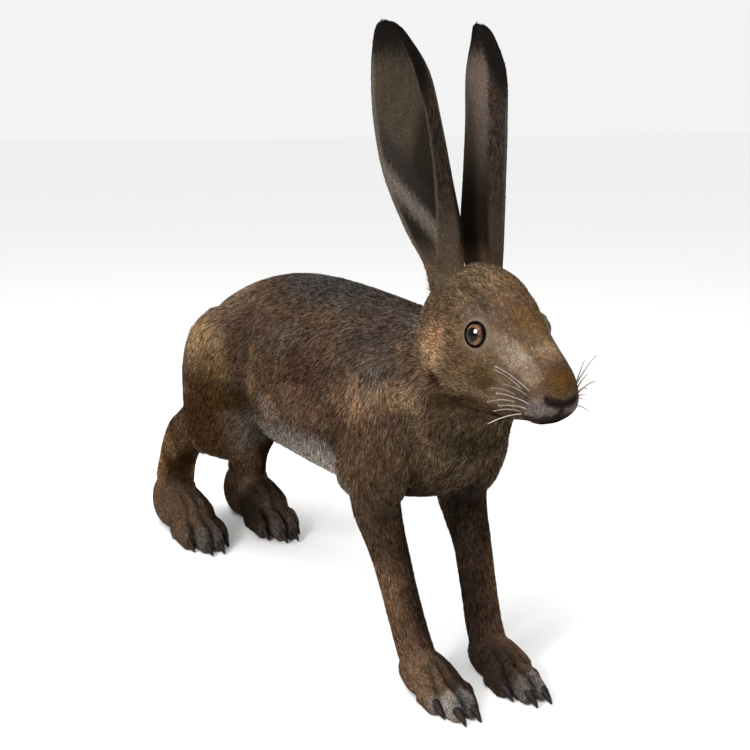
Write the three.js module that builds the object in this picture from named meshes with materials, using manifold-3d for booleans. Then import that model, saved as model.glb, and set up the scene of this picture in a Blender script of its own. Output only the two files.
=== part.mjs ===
// A standing brown hare at life size, in millimetres, +Z up, nose towards +X and left side towards +Y.
// Each body part is lofted through named sections. Where two parts meet, the one that comes later
// in the list is hollowed by the earlier one, grown by the gap, so that they lie face to face.
import * as THREE from "three";
import Module from "manifold-3d";
import { mergeVertices } from "three/addons/utils/BufferGeometryUtils.js";

const wasm = await Module();
wasm.setup();

// Gap between parts that touch, a length that reaches past the whole animal, and one too small to matter
const GAP = 0.32;
const BIG = 1500;
const TINY = 1e-6;

// How far the rows of a lofted part gather at its round ends, from 0 for even rows to 1
const GATHER = 0.75;

// Coat, eye and claw colours
const COLOURS = {
  torso: 0x4f4439,
  neck: 0x5d4c3a,
  head: 0x7a6145,
  ear: 0x4d4138,
  eye: 0x35200f,
  tail: 0x24201d,
  upper_arm: 0x5a4836,
  forearm: 0x54412f,
  forepaw: 0x5b4b3d,
  thigh: 0x5c4a33,
  shank: 0x584430,
  hind_foot: 0x5b4b3d,
  claw: 0x262120,
};
const ROUGHNESS = { coat: 0.9, eye: 0.15, claw: 0.45 };

// A section runs from a point [x, z] on the upper or front line to one on the lower or rear line.
// half is its half width, y its middle, widest the share of its height where it is widest,
// and square how boxy it is, where 2 is an ellipse.
const section = (upper, lower, half, { y = 0, widest = 0.5, square = 2 } = {}) => ({
  ux: upper[0],
  uz: upper[1],
  lx: lower[0],
  lz: lower[1],
  half,
  y,
  widest,
  square,
});

// A bump swells the skin by so many millimetres round a point, over a radius
const bump = (at, by, over) => ({ at: new THREE.Vector3(...at), by, over });

const TRUNK = {
  sections: [
    section([-446, 200], [-444, 156], 26),
    section([-430, 220], [-428, 138], 40),
    section([-402, 236], [-400, 126], 49, { widest: 0.47 }),
    section([-358, 251], [-352, 118], 52, { widest: 0.45 }),
    section([-300, 261.5], [-292, 113.5], 51, { widest: 0.44 }),
    section([-240, 263.5], [-232, 110.5], 50, { widest: 0.44 }),
    section([-185, 261], [-176, 111.5], 50, { widest: 0.45 }),
    section([-138, 257.5], [-124, 117], 49.5, { widest: 0.45 }),
    section([-108, 256], [-84, 128], 46, { widest: 0.45 }),
    section([-94, 257.5], [-53, 145], 41, { widest: 0.47 }),
    section([-80, 262], [-34, 168], 36, { widest: 0.48 }),
    section([-68, 268], [-22, 190], 30),
    section([-52, 262], [-12, 208], 22),
  ],
  rows: 22,
  around: 22,
  capStart: 40,
  capEnd: 8,
};

const HEAD = {
  sections: [
    section([-87, 257], [-84, 225], 21),
    section([-72, 281], [-70, 207], 32, { widest: 0.42 }),
    section([-46, 293], [-46, 200], 34, { widest: 0.38 }),
    section([-20, 290], [-24, 197], 33, { widest: 0.4 }),
    section([-2, 279], [-5, 197], 27, { widest: 0.42 }),
    section([14, 266], [10, 199], 22, { widest: 0.4 }),
    section([28, 254], [22, 200.5], 18.5, { widest: 0.4 }),
    section([40, 243], [34, 202.5], 16.5, { widest: 0.42 }),
    section([51, 232], [45, 208], 12.5, { widest: 0.45 }),
  ],
  bumps: [
    bump([-9, 27, 266], 1.6, 11), // brow over the eye
    bump([-48, 33, 224], 2.6, 20), // cheek
    bump([33, 14, 216], 2.4, 10), // whisker pad
  ],
  rows: 26,
  around: 26,
  capStart: 20,
  capEnd: 9,
};

const UPPER_ARM = {
  sections: [
    section([-96, 226], [-130, 226], 9, { y: 37 }),
    section([-74, 200], [-144, 200], 16.5, { y: 37 }),
    section([-66, 168], [-153, 170], 20, { y: 37 }),
    section([-76, 140], [-160, 146], 20, { y: 37 }),
    section([-92, 120], [-158, 124], 18, { y: 36 }),
  ],
  rows: 10,
  around: 14,
  capStart: 20,
  capEnd: 14,
};

const FOREARM = {
  sections: [
    section([-86, 138], [-153, 142], 14, { y: 36 }),
    section([-89, 112], [-139, 114], 15.5, { y: 35 }),
    section([-81, 84], [-114, 86], 14, { y: 33.5 }),
    section([-71, 58], [-101, 58], 13, { y: 31.5 }),
    section([-60, 34], [-90, 32], 13.2, { y: 29.5 }),
    section([-49, 22], [-82, 13], 13, { y: 28.6 }),
  ],
  rows: 12,
  around: 14,
  capStart: 14,
  capEnd: 8,
};

const THIGH = {
  sections: [
    section([-352, 230], [-398, 226], 10, { y: 37 }),
    section([-325, 210], [-426, 204], 19.5, { y: 38 }),
    section([-309, 180], [-443, 176], 23.5, { y: 39 }),
    section([-304, 148], [-447, 146], 24, { y: 39 }),
    section([-311, 121], [-445, 120], 23, { y: 38.5 }),
    section([-336, 96], [-440, 93], 18, { y: 37.5 }),
  ],
  rows: 12,
  around: 16,
  capStart: 22,
  capEnd: 18,
};

// Here the first point of each section is on the rear line, and the second on the front line
const SHANK = {
  sections: [
    section([-444, 134], [-403, 118], 13, { y: 38 }),
    section([-479, 113], [-441, 92], 16.5, { y: 38 }),
    section([-500, 92], [-457, 76], 16.5, { y: 37.5 }),
    section([-520, 64], [-465, 60], 15.5, { y: 37 }),
    section([-535, 40], [-465, 44], 15, { y: 37 }),
  ],
  rows: 10,
  around: 14,
  capStart: 16,
  capEnd: 10,
};

const TAIL = {
  sections: [
    section([-436, 210], [-440, 188], 10),
    section([-460, 205], [-457, 182], 13),
    section([-479, 191], [-465, 170], 14),
    section([-489, 166], [-470, 154], 12.5),
    section([-490, 138], [-476, 134], 6),
  ],
  rows: 12,
  around: 14,
  capStart: 8,
  capEnd: 14,
};

// A foot's sections run from heel to toes. Each toe gives its place across from the foot's middle, the x of
// its tip and of its root, its half width and its height.
const SOLE = 2; // how far the feet reach under the floor before they are cut flat
const FOREPAW = {
  middle: 28.3,
  sections: [
    section([-84, 22], [-82, 4], 10),
    section([-67, 31], [-67, -SOLE], 14.5, { square: 2.3 }),
    section([-48, 28], [-48, -SOLE], 16, { square: 2.4 }),
    section([-30, 20], [-30, -SOLE], 15.5, { square: 2.4 }),
  ],
  toes: [
    { across: -14.5, tip: -25, root: -52, half: 5.4, height: 16.5 },
    { across: -6, tip: -9, root: -50, half: 6, height: 18.5 },
    { across: 5.6, tip: -9, root: -50, half: 6, height: 18.5 },
    { across: 12, tip: -25, root: -52, half: 5.4, height: 16 },
  ],
  claw: { reach: 9, root: 5, half: 2.6, height: 7.5 },
  rows: 9,
  around: 14,
  capStart: 10,
  capEnd: 10,
};

const HIND_FOOT = {
  middle: 37,
  sections: [
    section([-536, 34], [-536, 8], 10),
    section([-518, 50], [-518, -SOLE], 15.5, { square: 2.2 }),
    section([-490, 51], [-490, -SOLE], 17.5, { square: 2.3 }),
    section([-462, 45], [-460, -SOLE], 18.5, { square: 2.5 }),
    section([-436, 37], [-436, -SOLE], 18.5, { square: 2.6 }),
  ],
  toes: [
    { across: -17, tip: -422, root: -466, half: 6.4, height: 24 },
    { across: -6, tip: -406, root: -462, half: 6.9, height: 26 },
    { across: 5.4, tip: -406, root: -462, half: 6.9, height: 26 },
    { across: 15.6, tip: -424, root: -468, half: 6.9, height: 24 },
  ],
  claw: { reach: 10, root: 6, half: 2.8, height: 9 },
  rows: 10,
  around: 14,
  capStart: 12,
  capEnd: 12,
};

// A toe's form from root to tip: how far along, how high and how wide it is there, and how far it has spread
const TOE = {
  stations: [
    { along: 0, high: 1.25, wide: 1, spread: 0.8 },
    { along: 0.5, high: 1, wide: 1.05, spread: 0.9 },
    { along: 0.8, high: 0.86, wide: 1, spread: 0.96 },
    { along: 1, high: 0.6, wide: 0.8, spread: 1 },
  ],
  rows: 6,
  around: 10,
  capStart: 6,
  capEnd: 7,
};

// A claw is a bent spike: stations from root to tip, how steeply it bends down and thins, and its tip
const CLAW = {
  stations: [0, 0.25, 0.5, 0.7, 0.86, 1],
  bend: 2.2,
  taper: 0.6,
  tip: { half: 0.35, height: 0.6, floor: 0.4 },
  rows: 6,
  around: 8,
  capStart: 2,
  capEnd: 0.5,
};

// The eyeball, and the ring of the lids round it: which way it faces, how far out it lies, and its size
const EYE = { at: [-9.5, 20.8, 252.6], radius: 9.4, around: 16, rows: 10 };
const LIDS = { yaw: 69, pitch: 6, out: 4.9, ring: 8.4, thick: 1.6, around: 18, rows: 6 };

// The ear is a thin cup between level lines. At each height z they give [x, y] of its front edge, of the
// fold behind that edge, of the middle of its back, and of its rear edge.
const EAR = {
  lines: [
    { z: 266, front: [-56, 26], fold: [-46, 11], back: [-62, 8], rear: [-66, 21] },
    { z: 288, front: [-54, 26], fold: [-48, 8.5], back: [-70, 6], rear: [-81, 18] },
    { z: 310, front: [-53, 26], fold: [-50.5, 7.5], back: [-78, 8], rear: [-98, 22] },
    { z: 345, front: [-54, 27], fold: [-58, 11], back: [-87, 15.5], rear: [-111, 31] },
    { z: 380, front: [-58, 30], fold: [-65, 15], back: [-94, 21], rear: [-116, 36] },
    { z: 412, front: [-66, 34], fold: [-73, 19.5], back: [-99, 24], rear: [-117, 37.5] },
    { z: 434, front: [-82, 36], fold: [-86, 27], back: [-101, 29], rear: [-113, 38] },
    { z: 443.5, front: [-98, 36], fold: [-99, 33], back: [-103, 33], rear: [-107, 36.5] },
  ],
  wall: 2.4,
  edge: 1.5,
  rows: 16,
  across: 12,
  gather: 0.35, // how far the rows gather at the tip
};

// The mouth line from the chin's front backwards, the cleft over it and the nostrils, cut to a depth
const FACE = {
  depth: 1.5,
  line: [
    [70, 211],
    [46, 210],
    [35, 206.5],
    [20, 205],
    [6, 207],
  ],
  lip: 1,
  across: 40,
  cleft: { x: 36, wide: 1, low: 210, high: 218 },
  nostril: { at: [47.5, 6.2, 221.5], half: [5, 1.3, 1.3], along: [-0.15, 0.6, 0.79] },
};

// The neck leaves the torso at a leaning plane through this point
const NECK_CUT = { at: [-112, 262], lean: 46 };

// A value of a list at t from 0 to 1 on a Catmull-Rom curve through it
function smooth(values, t) {
  const at = Math.min(Math.max(t, 0), 1) * (values.length - 1);
  const i = Math.min(Math.floor(at), values.length - 2);
  const f = at - i;
  const [a, b, c, d] = [-1, 0, 1, 2].map((k) => values[Math.min(Math.max(i + k, 0), values.length - 1)]);
  return b + 0.5 * f * (c - a + f * (2 * a - 5 * b + 4 * c - d + f * (3 * (b - c) + d - a)));
}

// A three.js geometry as a solid, with its faces turned out
function solid(geometry) {
  geometry.deleteAttribute("normal");
  geometry.deleteAttribute("uv");
  const merged = mergeVertices(geometry, 1e-4);
  const places = new Float32Array(merged.attributes.position.array);
  const corner = (id) => new THREE.Vector3().fromArray(places, 3 * id);
  const faces = new Uint32Array(merged.index.array);
  let volume = 0;
  for (let i = 0; i < faces.length; i += 3) {
    volume += corner(faces[i]).dot(corner(faces[i + 1]).cross(corner(faces[i + 2])));
  }
  if (volume < 0) {
    faces.reverse();
  }
  return new wasm.Manifold(new wasm.Mesh({ numProp: 3, vertProperties: places, triVerts: faces }));
}

// A sphere carried onto a new form: place gives the point for u round it and v from pole to pole
function warpedSphere(around, rows, place) {
  const geometry = new THREE.SphereGeometry(1, around, rows);
  const { position, uv } = geometry.attributes;
  for (let i = 0; i < position.count; i++) {
    const point = place(((i % (around + 1)) % around) / around, 1 - uv.getY(i));
    position.setXYZ(i, point.x, point.y, point.z);
  }
  return solid(geometry);
}

const power = (value, exponent) => Math.sign(value) * Math.abs(value) ** exponent;

// A body part lofted through its sections with round ends, on one side of the animal, and grown by grow
function loft({ sections, bumps = [], rows, around, capStart, capEnd, middle = 0 }, side, grow = 0) {
  const centre = (s) => new THREE.Vector3((s.ux + s.lx) / 2, 0, (s.uz + s.lz) / 2);
  const reach = [0];
  sections.slice(1).forEach((s, i) => reach.push(reach[i] + centre(s).distanceTo(centre(sections[i]))));
  const whole = reach.at(-1);
  const sectionAt = (distance) => {
    const i = Math.max(1, reach.findIndex((r) => r >= distance - TINY));
    const t = (i - 1 + (distance - reach[i - 1]) / (reach[i] - reach[i - 1])) / (sections.length - 1);
    const blended = (key) => smooth(sections.map((s) => s[key]), t);
    return Object.fromEntries(Object.keys(sections[0]).map((key) => [key, blended(key)]));
  };
  const outAtStart = centre(sections[0]).sub(centre(sections[1])).normalize();
  const outAtEnd = centre(sections.at(-1)).sub(centre(sections.at(-2))).normalize();
  const rounding = (toEnd, cap) => (toEnd < cap ? Math.sqrt(1 - (1 - Math.max(toEnd, 0) / cap) ** 2) : 1);
  return warpedSphere(around, rows, (u, v) => {
    const distance = whole * (v - (GATHER * Math.sin(2 * Math.PI * v)) / (2 * Math.PI));
    const s = sectionAt(Math.min(distance, whole));
    const [atStart, atEnd] = [rounding(distance, capStart), rounding(whole - distance, capEnd)];
    const scale = Math.min(v, 1 - v) < TINY ? 0 : atStart * atEnd;
    const [dx, dz] = [s.ux - s.lx, s.uz - s.lz];
    const high = Math.hypot(dx, dz);
    const angle = 2 * Math.PI * u;
    const rise = power(Math.sin(angle), 2 / s.square);
    const up = (rise * (high * (rise > 0 ? 1 - s.widest : s.widest) + grow) * scale) / high;
    const out = power(Math.cos(angle), 2 / s.square) * (s.half + grow) * scale;
    const heart = new THREE.Vector3(s.lx + dx * s.widest, s.y + middle, s.lz + dz * s.widest);
    const point = heart.clone().add(new THREE.Vector3(up * dx, out, up * dz));
    point.addScaledVector(outAtStart, grow * (1 - atStart)).addScaledVector(outAtEnd, grow * (1 - atEnd));
    const outwards = point.clone().sub(heart).normalize();
    const folded = new THREE.Vector3(point.x, Math.abs(point.y), point.z);
    const swell = (b) => b.by * Math.exp(-folded.distanceToSquared(b.at) / b.over ** 2);
    point.addScaledVector(outwards, bumps.reduce((sum, b) => sum + swell(b), 0));
    point.y *= side;
    return point;
  });
}

function box([x0, x1], [y0, y1], [z0, z1]) {
  const geometry = new THREE.BoxGeometry(x1 - x0, y1 - y0, z1 - z0);
  return solid(geometry.translate((x0 + x1) / 2, (y0 + y1) / 2, (z0 + z1) / 2));
}

// Everything ahead of a plane across the animal, through a point [x, z], leaning by degrees from upright
function ahead([x, z], lean) {
  const geometry = new THREE.BoxGeometry(BIG, BIG, BIG).translate(BIG / 2, 0, 0);
  return solid(geometry.rotateY(THREE.MathUtils.degToRad(-lean)).translate(x, 0, z));
}

const underFloor = box([-BIG, BIG], [-BIG, BIG], [-BIG, 0]);

// One toe: it leaves the foot at its root and slopes down to a blunt tip
function toe({ across, tip, root, half, height }, middle) {
  const sections = TOE.stations.map(({ along, high, wide, spread }) => {
    const x = root + (tip - root) * along;
    return section([x, height * high], [x, -SOLE], half * wide, { y: middle + across * spread });
  });
  return { ...TOE, sections };
}

// One claw: a bent spike from inside the toe to just over the floor
function claw({ across, tip }, { reach, root, half, height }, middle) {
  const sections = CLAW.stations.map((share) => {
    const x = tip - root + (reach + root) * share;
    const z = height * (1 - share ** CLAW.bend) + CLAW.tip.height;
    const deep = half * (1 - share) ** CLAW.taper + CLAW.tip.half;
    const under = [x - deep * share, Math.max(z - deep, CLAW.tip.floor)];
    return section([x, z + deep], under, 0.8 * deep, { y: middle + across });
  });
  return { ...CLAW, sections };
}

function foot(form, side, grow) {
  const body = loft(form, side, grow);
  const whole = form.toes.reduce((sum, t) => sum.add(loft(toe(t, form.middle), side, grow)), body);
  return whole.subtract(underFloor);
}

// The direction out of the eye, with the middle of the lid ring on it
function lidFrame(side) {
  const [yaw, pitch] = [LIDS.yaw, LIDS.pitch].map(THREE.MathUtils.degToRad);
  const level = Math.cos(pitch);
  const out = new THREE.Vector3(Math.cos(yaw) * level, side * Math.sin(yaw) * level, Math.sin(pitch));
  const middle = new THREE.Vector3(EYE.at[0], side * EYE.at[1], EYE.at[2]).addScaledVector(out, LIDS.out);
  return { out, middle };
}

function eye(side, grow) {
  const geometry = new THREE.SphereGeometry(EYE.radius + grow, EYE.around, EYE.rows);
  return solid(geometry.translate(EYE.at[0], side * EYE.at[1], EYE.at[2]));
}

function lids(side) {
  const { out, middle } = lidFrame(side);
  const turn = new THREE.Quaternion().setFromUnitVectors(new THREE.Vector3(0, 0, 1), out);
  const ring = new THREE.TorusGeometry(LIDS.ring, LIDS.thick, LIDS.rows, LIDS.around).applyQuaternion(turn);
  return solid(ring.translate(middle.x, middle.y, middle.z));
}

// The mouth line, the cleft of the upper lip and the nostrils, cut only as deep as depth into the head
function face() {
  const { depth, line, lip, across, cleft, nostril } = FACE;
  const core = loft(HEAD, 1, -depth);
  const edge = (lift) => line.map(([x, z]) => new THREE.Vector2(x, z + lift));
  const mouth = new THREE.Shape([...edge(lip / 2), ...edge(-lip / 2).reverse()]);
  const mouthSlab = new THREE.ExtrudeGeometry(mouth, { depth: 2 * across, bevelEnabled: false, steps: 1 })
    .rotateX(Math.PI / 2)
    .translate(0, across, 0);
  const cleftSlab = box([cleft.x, BIG], [-cleft.wide / 2, cleft.wide / 2], [cleft.low, cleft.high]);
  const lines = solid(mouthSlab).add(cleftSlab).subtract(core);
  return [1, -1].reduce((sum, side) => {
    const [x, y, z] = nostril.along;
    const turn = new THREE.Quaternion().setFromUnitVectors(
      new THREE.Vector3(1, 0, 0),
      new THREE.Vector3(x, side * y, z).normalize(),
    );
    const slit = new THREE.SphereGeometry(1, 12, 8).scale(...nostril.half).applyQuaternion(turn)
      .translate(nostril.at[0], side * nostril.at[1], nostril.at[2]);
    return sum.add(solid(slit));
  }, lines);
}

// A thin closed leaf between two like grids of points, its faces split alike on both sides
function leaf(outer, inner) {
  const [rows, columns] = [outer.length, outer[0].length];
  const geometry = new THREE.BufferGeometry().setFromPoints([...outer.flat(), ...inner.flat()]);
  const id = (layer, row, column) => (layer * rows + row) * columns + column;
  const index = [];
  const quad = (a, b, c, d) => index.push(a, b, c, a, c, d);
  for (let row = 0; row + 1 < rows; row++) {
    for (let column = 0; column + 1 < columns; column++) {
      const corners = (layer) =>
        [[0, 0], [0, 1], [1, 1], [1, 0]].map(([down, over]) => id(layer, row + down, column + over));
      const [a, b, c, d] = corners(0);
      const [e, f, g, h] = corners(1);
      quad(a, b, c, d);
      index.push(e, g, f, e, h, g);
    }
  }
  for (let row = 0; row + 1 < rows; row++) {
    quad(id(0, row, 0), id(0, row + 1, 0), id(1, row + 1, 0), id(1, row, 0));
    const last = columns - 1;
    quad(id(0, row, last), id(1, row, last), id(1, row + 1, last), id(0, row + 1, last));
  }
  for (let column = 0; column + 1 < columns; column++) {
    quad(id(0, 0, column), id(1, 0, column), id(1, 0, column + 1), id(0, 0, column + 1));
    const last = rows - 1;
    quad(id(0, last, column), id(0, last, column + 1), id(1, last, column + 1), id(1, last, column));
  }
  geometry.setIndex(index);
  return solid(geometry);
}

// The ear's outer face runs smoothly from the front edge over fold and back to the rear edge at each height,
// and its inner face lies a wall inside it
function ear(side) {
  const { lines, wall, edge, rows, across, gather } = EAR;
  const corners = ["front", "fold", "back", "rear"];
  const outer = Array.from({ length: rows + 1 }, (_, row) => {
    const t = gather * Math.sin((Math.PI / 2) * (row / rows)) + (1 - gather) * (row / rows);
    const z = smooth(lines.map((line) => line.z), t);
    const marks = corners.map((name) => {
      const [x, y] = [0, 1].map((axis) => smooth(lines.map((line) => line[name][axis]), t));
      return new THREE.Vector3(x, side * y, z);
    });
    const rim = new THREE.CatmullRomCurve3(marks, false, "centripetal");
    return Array.from({ length: across + 1 }, (_, column) => rim.getPoint(column / across));
  });
  const inner = outer.map((ring) => ring.map((point, column) => {
    const before = ring[Math.max(column - 1, 0)];
    const after = ring[Math.min(column + 1, across)];
    const upwards = new THREE.Vector3(0, 0, side);
    const inwards = new THREE.Vector3().subVectors(after, before).cross(upwards).normalize();
    const thickness = wall - (wall - edge) * Math.abs((2 * column) / across - 1) ** 4;
    return point.clone().addScaledVector(inwards, thickness);
  }));
  return leaf(outer, inner);
}

// Body parts in the order in which each keeps its form where it meets the ones after it
const bothSides = (name, make) => [
  [`${name}_right`, (grow) => make(-1, grow)],
  [`${name}_left`, (grow) => make(1, grow)],
];
const claws = (name, form) => form.toes.flatMap((t, i) =>
  bothSides(`${name}_claw_${i + 1}`, (side, grow) => loft(claw(t, form.claw, form.middle), side, grow)));
const neckPlane = (grow) => ahead([NECK_CUT.at[0] - grow, NECK_CUT.at[1]], NECK_CUT.lean);
const bodyParts = [
  ...bothSides("eye", eye),
  ...bothSides("forepaw", (side, grow) => foot(FOREPAW, side, grow)),
  ...bothSides("hind_foot", (side, grow) => foot(HIND_FOOT, side, grow)),
  ...claws("forepaw", FOREPAW),
  ...claws("hind_foot", HIND_FOOT),
  ...bothSides("forearm", (side, grow) => loft(FOREARM, side, grow)),
  ...bothSides("shank", (side, grow) => loft(SHANK, side, grow)),
  ...bothSides("upper_arm", (side, grow) => loft(UPPER_ARM, side, grow)),
  ...bothSides("thigh", (side, grow) => loft(THIGH, side, grow)),
  ["head", (grow) => loft(HEAD, 1, grow).add(lids(1)).add(lids(-1)).subtract(face())],
  ...bothSides("ear", (side) => ear(side)),
  ["neck", (grow) => loft(TRUNK, 1, grow).intersect(neckPlane(grow))],
  ["torso", (grow) => loft(TRUNK, 1, grow).subtract(neckPlane(0))],
  ["tail", (grow) => loft(TAIL, 1, grow)],
];

// The largest closed surface of a solid
function largest(whole) {
  const size = (piece) => {
    const bounds = new THREE.Box3().setFromArray(piece.getMesh().vertProperties);
    return bounds.getSize(new THREE.Vector3()).length();
  };
  return whole.decompose().reduce((best, piece) => (size(piece) > size(best) ? piece : best));
}

function meshOf(name, whole) {
  const { vertProperties, triVerts } = whole.getMesh();
  const geometry = new THREE.BufferGeometry();
  geometry.setAttribute("position", new THREE.BufferAttribute(vertProperties, 3));
  geometry.setIndex(new THREE.BufferAttribute(triVerts, 1));
  geometry.computeVertexNormals();
  const kind = name.includes("claw") ? "claw" : name.replace(/_(left|right)$/, "");
  const material = new THREE.MeshStandardMaterial({
    color: COLOURS[kind],
    roughness: ROUGHNESS[kind] ?? ROUGHNESS.coat,
    metalness: 0,
  });
  const mesh = new THREE.Mesh(geometry, material);
  mesh.name = name;
  return mesh;
}

const hare = new THREE.Group();
const grown = [];
for (const [name, make] of bodyParts) {
  hare.add(meshOf(name, largest(grown.reduce((rest, earlier) => rest.subtract(earlier), make(0)))));
  grown.push(make(GAP));
}

// The origin lies on the floor under the middle of the whole animal
const bounds = new THREE.Box3().setFromObject(hare);
hare.position.x = -(bounds.min.x + bounds.max.x) / 2;

export default hare;
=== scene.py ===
import bmesh
import bpy
import numpy as np
from mathutils import Euler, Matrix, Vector
from mathutils.bvhtree import BVHTree
from mathutils.kdtree import KDTree


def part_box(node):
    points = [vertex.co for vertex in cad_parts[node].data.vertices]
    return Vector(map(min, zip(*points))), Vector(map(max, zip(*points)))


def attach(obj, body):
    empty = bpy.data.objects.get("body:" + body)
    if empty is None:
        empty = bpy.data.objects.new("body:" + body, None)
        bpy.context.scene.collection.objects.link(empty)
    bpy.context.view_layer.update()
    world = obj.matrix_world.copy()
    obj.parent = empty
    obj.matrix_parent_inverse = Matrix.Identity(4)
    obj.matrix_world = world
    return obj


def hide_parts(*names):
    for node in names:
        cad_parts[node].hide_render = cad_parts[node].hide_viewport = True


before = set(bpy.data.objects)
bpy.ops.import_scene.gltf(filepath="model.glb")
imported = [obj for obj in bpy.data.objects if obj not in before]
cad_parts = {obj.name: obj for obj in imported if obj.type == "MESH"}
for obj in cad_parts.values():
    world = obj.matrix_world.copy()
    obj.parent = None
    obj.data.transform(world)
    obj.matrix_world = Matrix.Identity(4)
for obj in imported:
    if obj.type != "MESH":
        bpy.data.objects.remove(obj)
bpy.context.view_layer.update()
rng = np.random.default_rng(11)

# Shapes are written in millimetres from the tips of the front claws: nose towards +X, left side towards +Y,
# floor at z 0. toFrame puts them in the frame, in metres.
eyeBall = {"at": (-9.5, 20.8, 252.6), "radius": 9.4}
rightEyeLow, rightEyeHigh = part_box("eye_right")
originShift = (rightEyeLow[0] + rightEyeHigh[0]) / 2 - eyeBall["at"][0] / 1000


def toFrame(points):
    return np.asarray(points, float) * 0.001 + (originShift, 0, 0)


def fromFrame(points):
    return (np.asarray(points, float) - (originShift, 0, 0)) * 1000


def fold(points):
    # the same points, those of the right side moved to the left one
    return points * (1, 0, 1) + np.abs(points) * (0, 1, 0)


def cut(upper, lower, half, y=0.0, widest=0.5, square=2.0):
    # one section of a body part as a row: top and bottom point as x and z, half width, place across, where
    # between bottom and top it is widest, and the power of its super-ellipse
    return (*upper, *lower, half, y, widest, square)


def pelt(length, width, lift, density):
    # a part's fur as a row: length and width of a tuft, how far it rises, and tufts on a square millimetre
    return (length, width, lift, density)


# Each body part: sections along it, lengths of its round ends, swellings as place, height and reach, how deep
# the skin lies under the coat, whether the fur lies along the sections or against them, and the fur.
trunk = {
    "cuts": [
        cut((-446, 200), (-444, 156), 26),
        cut((-430, 220), (-428, 138), 40),
        cut((-402, 236), (-400, 126), 49, widest=0.47),
        cut((-358, 251), (-352, 118), 52, widest=0.45),
        cut((-300, 261.5), (-292, 113.5), 51, widest=0.44),
        cut((-240, 263.5), (-232, 110.5), 50, widest=0.44),
        cut((-185, 261), (-176, 111.5), 50, widest=0.45),
        cut((-138, 257.5), (-124, 117), 49.5, widest=0.45),
        cut((-108, 256), (-84, 128), 46, widest=0.45),
        cut((-94, 257.5), (-53, 145), 41, widest=0.47),
        cut((-80, 262), (-34, 168), 36, widest=0.48),
        cut((-68, 268), (-22, 190), 30),
        cut((-52, 262), (-12, 208), 22),
    ],
    "caps": (40, 8),
    "depth": 2.2,
    "lie": -1,
    "lean": (0, 0, -0.3),  # added to the lie
    "fur": pelt(length=5.8, width=0.62, lift=0.24, density=1.0),
}
head = {
    "cuts": [
        cut((-87, 257), (-84, 225), 21),
        cut((-72, 281), (-70, 207), 32, widest=0.42),
        cut((-46, 293), (-46, 200), 34, widest=0.38),
        cut((-20, 290), (-24, 197), 33, widest=0.4),
        cut((-2, 279), (-5, 197), 27, widest=0.42),
        cut((14, 266), (10, 199), 22, widest=0.4),
        cut((28, 254), (22, 200.5), 18.5, widest=0.4),
        cut((40, 243), (34, 202.5), 16.5, widest=0.42),
        cut((51, 232), (45, 208), 12.5, widest=0.45),
    ],
    "caps": (20, 9),
    "bumps": [((-9, 27, 266), 1.6, 11), ((-48, 33, 224), 2.6, 20), ((33, 14, 216), 2.4, 10)],
    "depth": 1.3,
    "lie": -1,
    "fur": pelt(length=4.6, width=0.56, lift=0.2, density=1.5),
}
upperArm = {
    "cuts": [
        cut((-96, 226), (-130, 226), 9, y=37),
        cut((-74, 200), (-144, 200), 16.5, y=37),
        cut((-66, 168), (-153, 170), 20, y=37),
        cut((-76, 140), (-160, 146), 20, y=37),
        cut((-92, 120), (-158, 124), 18, y=36),
    ],
    "caps": (20, 14),
    "depth": 2.0,
    "lie": 1,
    "fur": pelt(length=5.6, width=0.6, lift=0.24, density=1.0),
}
forearm = {
    "cuts": [
        cut((-86, 138), (-153, 142), 14, y=36),
        cut((-89, 112), (-139, 114), 15.5, y=35),
        cut((-81, 84), (-114, 86), 14, y=33.5),
        cut((-71, 58), (-101, 58), 13, y=31.5),
        cut((-60, 34), (-90, 32), 13.2, y=29.5),
        cut((-49, 22), (-82, 13), 13, y=28.6),
    ],
    "caps": (14, 8),
    "depth": 1.2,
    "lie": 1,
    "fur": pelt(length=4.4, width=0.56, lift=0.2, density=0.95),
}
thigh = {
    "cuts": [
        cut((-352, 230), (-398, 226), 10, y=37),
        cut((-325, 210), (-426, 204), 19.5, y=38),
        cut((-309, 180), (-443, 176), 23.5, y=39),
        cut((-304, 148), (-447, 146), 24, y=39),
        cut((-311, 121), (-445, 120), 23, y=38.5),
        cut((-336, 96), (-440, 93), 18, y=37.5),
    ],
    "caps": (22, 18),
    "depth": 2.2,
    "lie": 1,
    "lean": (-0.5, 0, 0),
    "fur": pelt(length=5.8, width=0.62, lift=0.24, density=1.0),
}
shank = {  # here the first point of each section is on the rear line
    "cuts": [
        cut((-444, 134), (-403, 118), 13, y=38),
        cut((-479, 113), (-441, 92), 16.5, y=38),
        cut((-500, 92), (-457, 76), 16.5, y=37.5),
        cut((-520, 64), (-465, 60), 15.5, y=37),
        cut((-535, 40), (-465, 44), 15, y=37),
    ],
    "caps": (16, 10),
    "depth": 1.2,
    "lie": 1,
    "fur": pelt(length=4.6, width=0.58, lift=0.2, density=0.92),
}
tail = {
    "cuts": [
        cut((-436, 210), (-440, 188), 10),
        cut((-460, 205), (-457, 182), 13),
        cut((-479, 191), (-465, 170), 14),
        cut((-489, 166), (-470, 154), 12.5),
        cut((-490, 138), (-476, 134), 6),
    ],
    "caps": (8, 14),
    "depth": 3.4,
    "lie": 1,
    "fur": pelt(length=9.0, width=0.8, lift=0.24, density=0.95),
}
sole = 2.0  # how far the feet reach under the floor before they are cut flat
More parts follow.
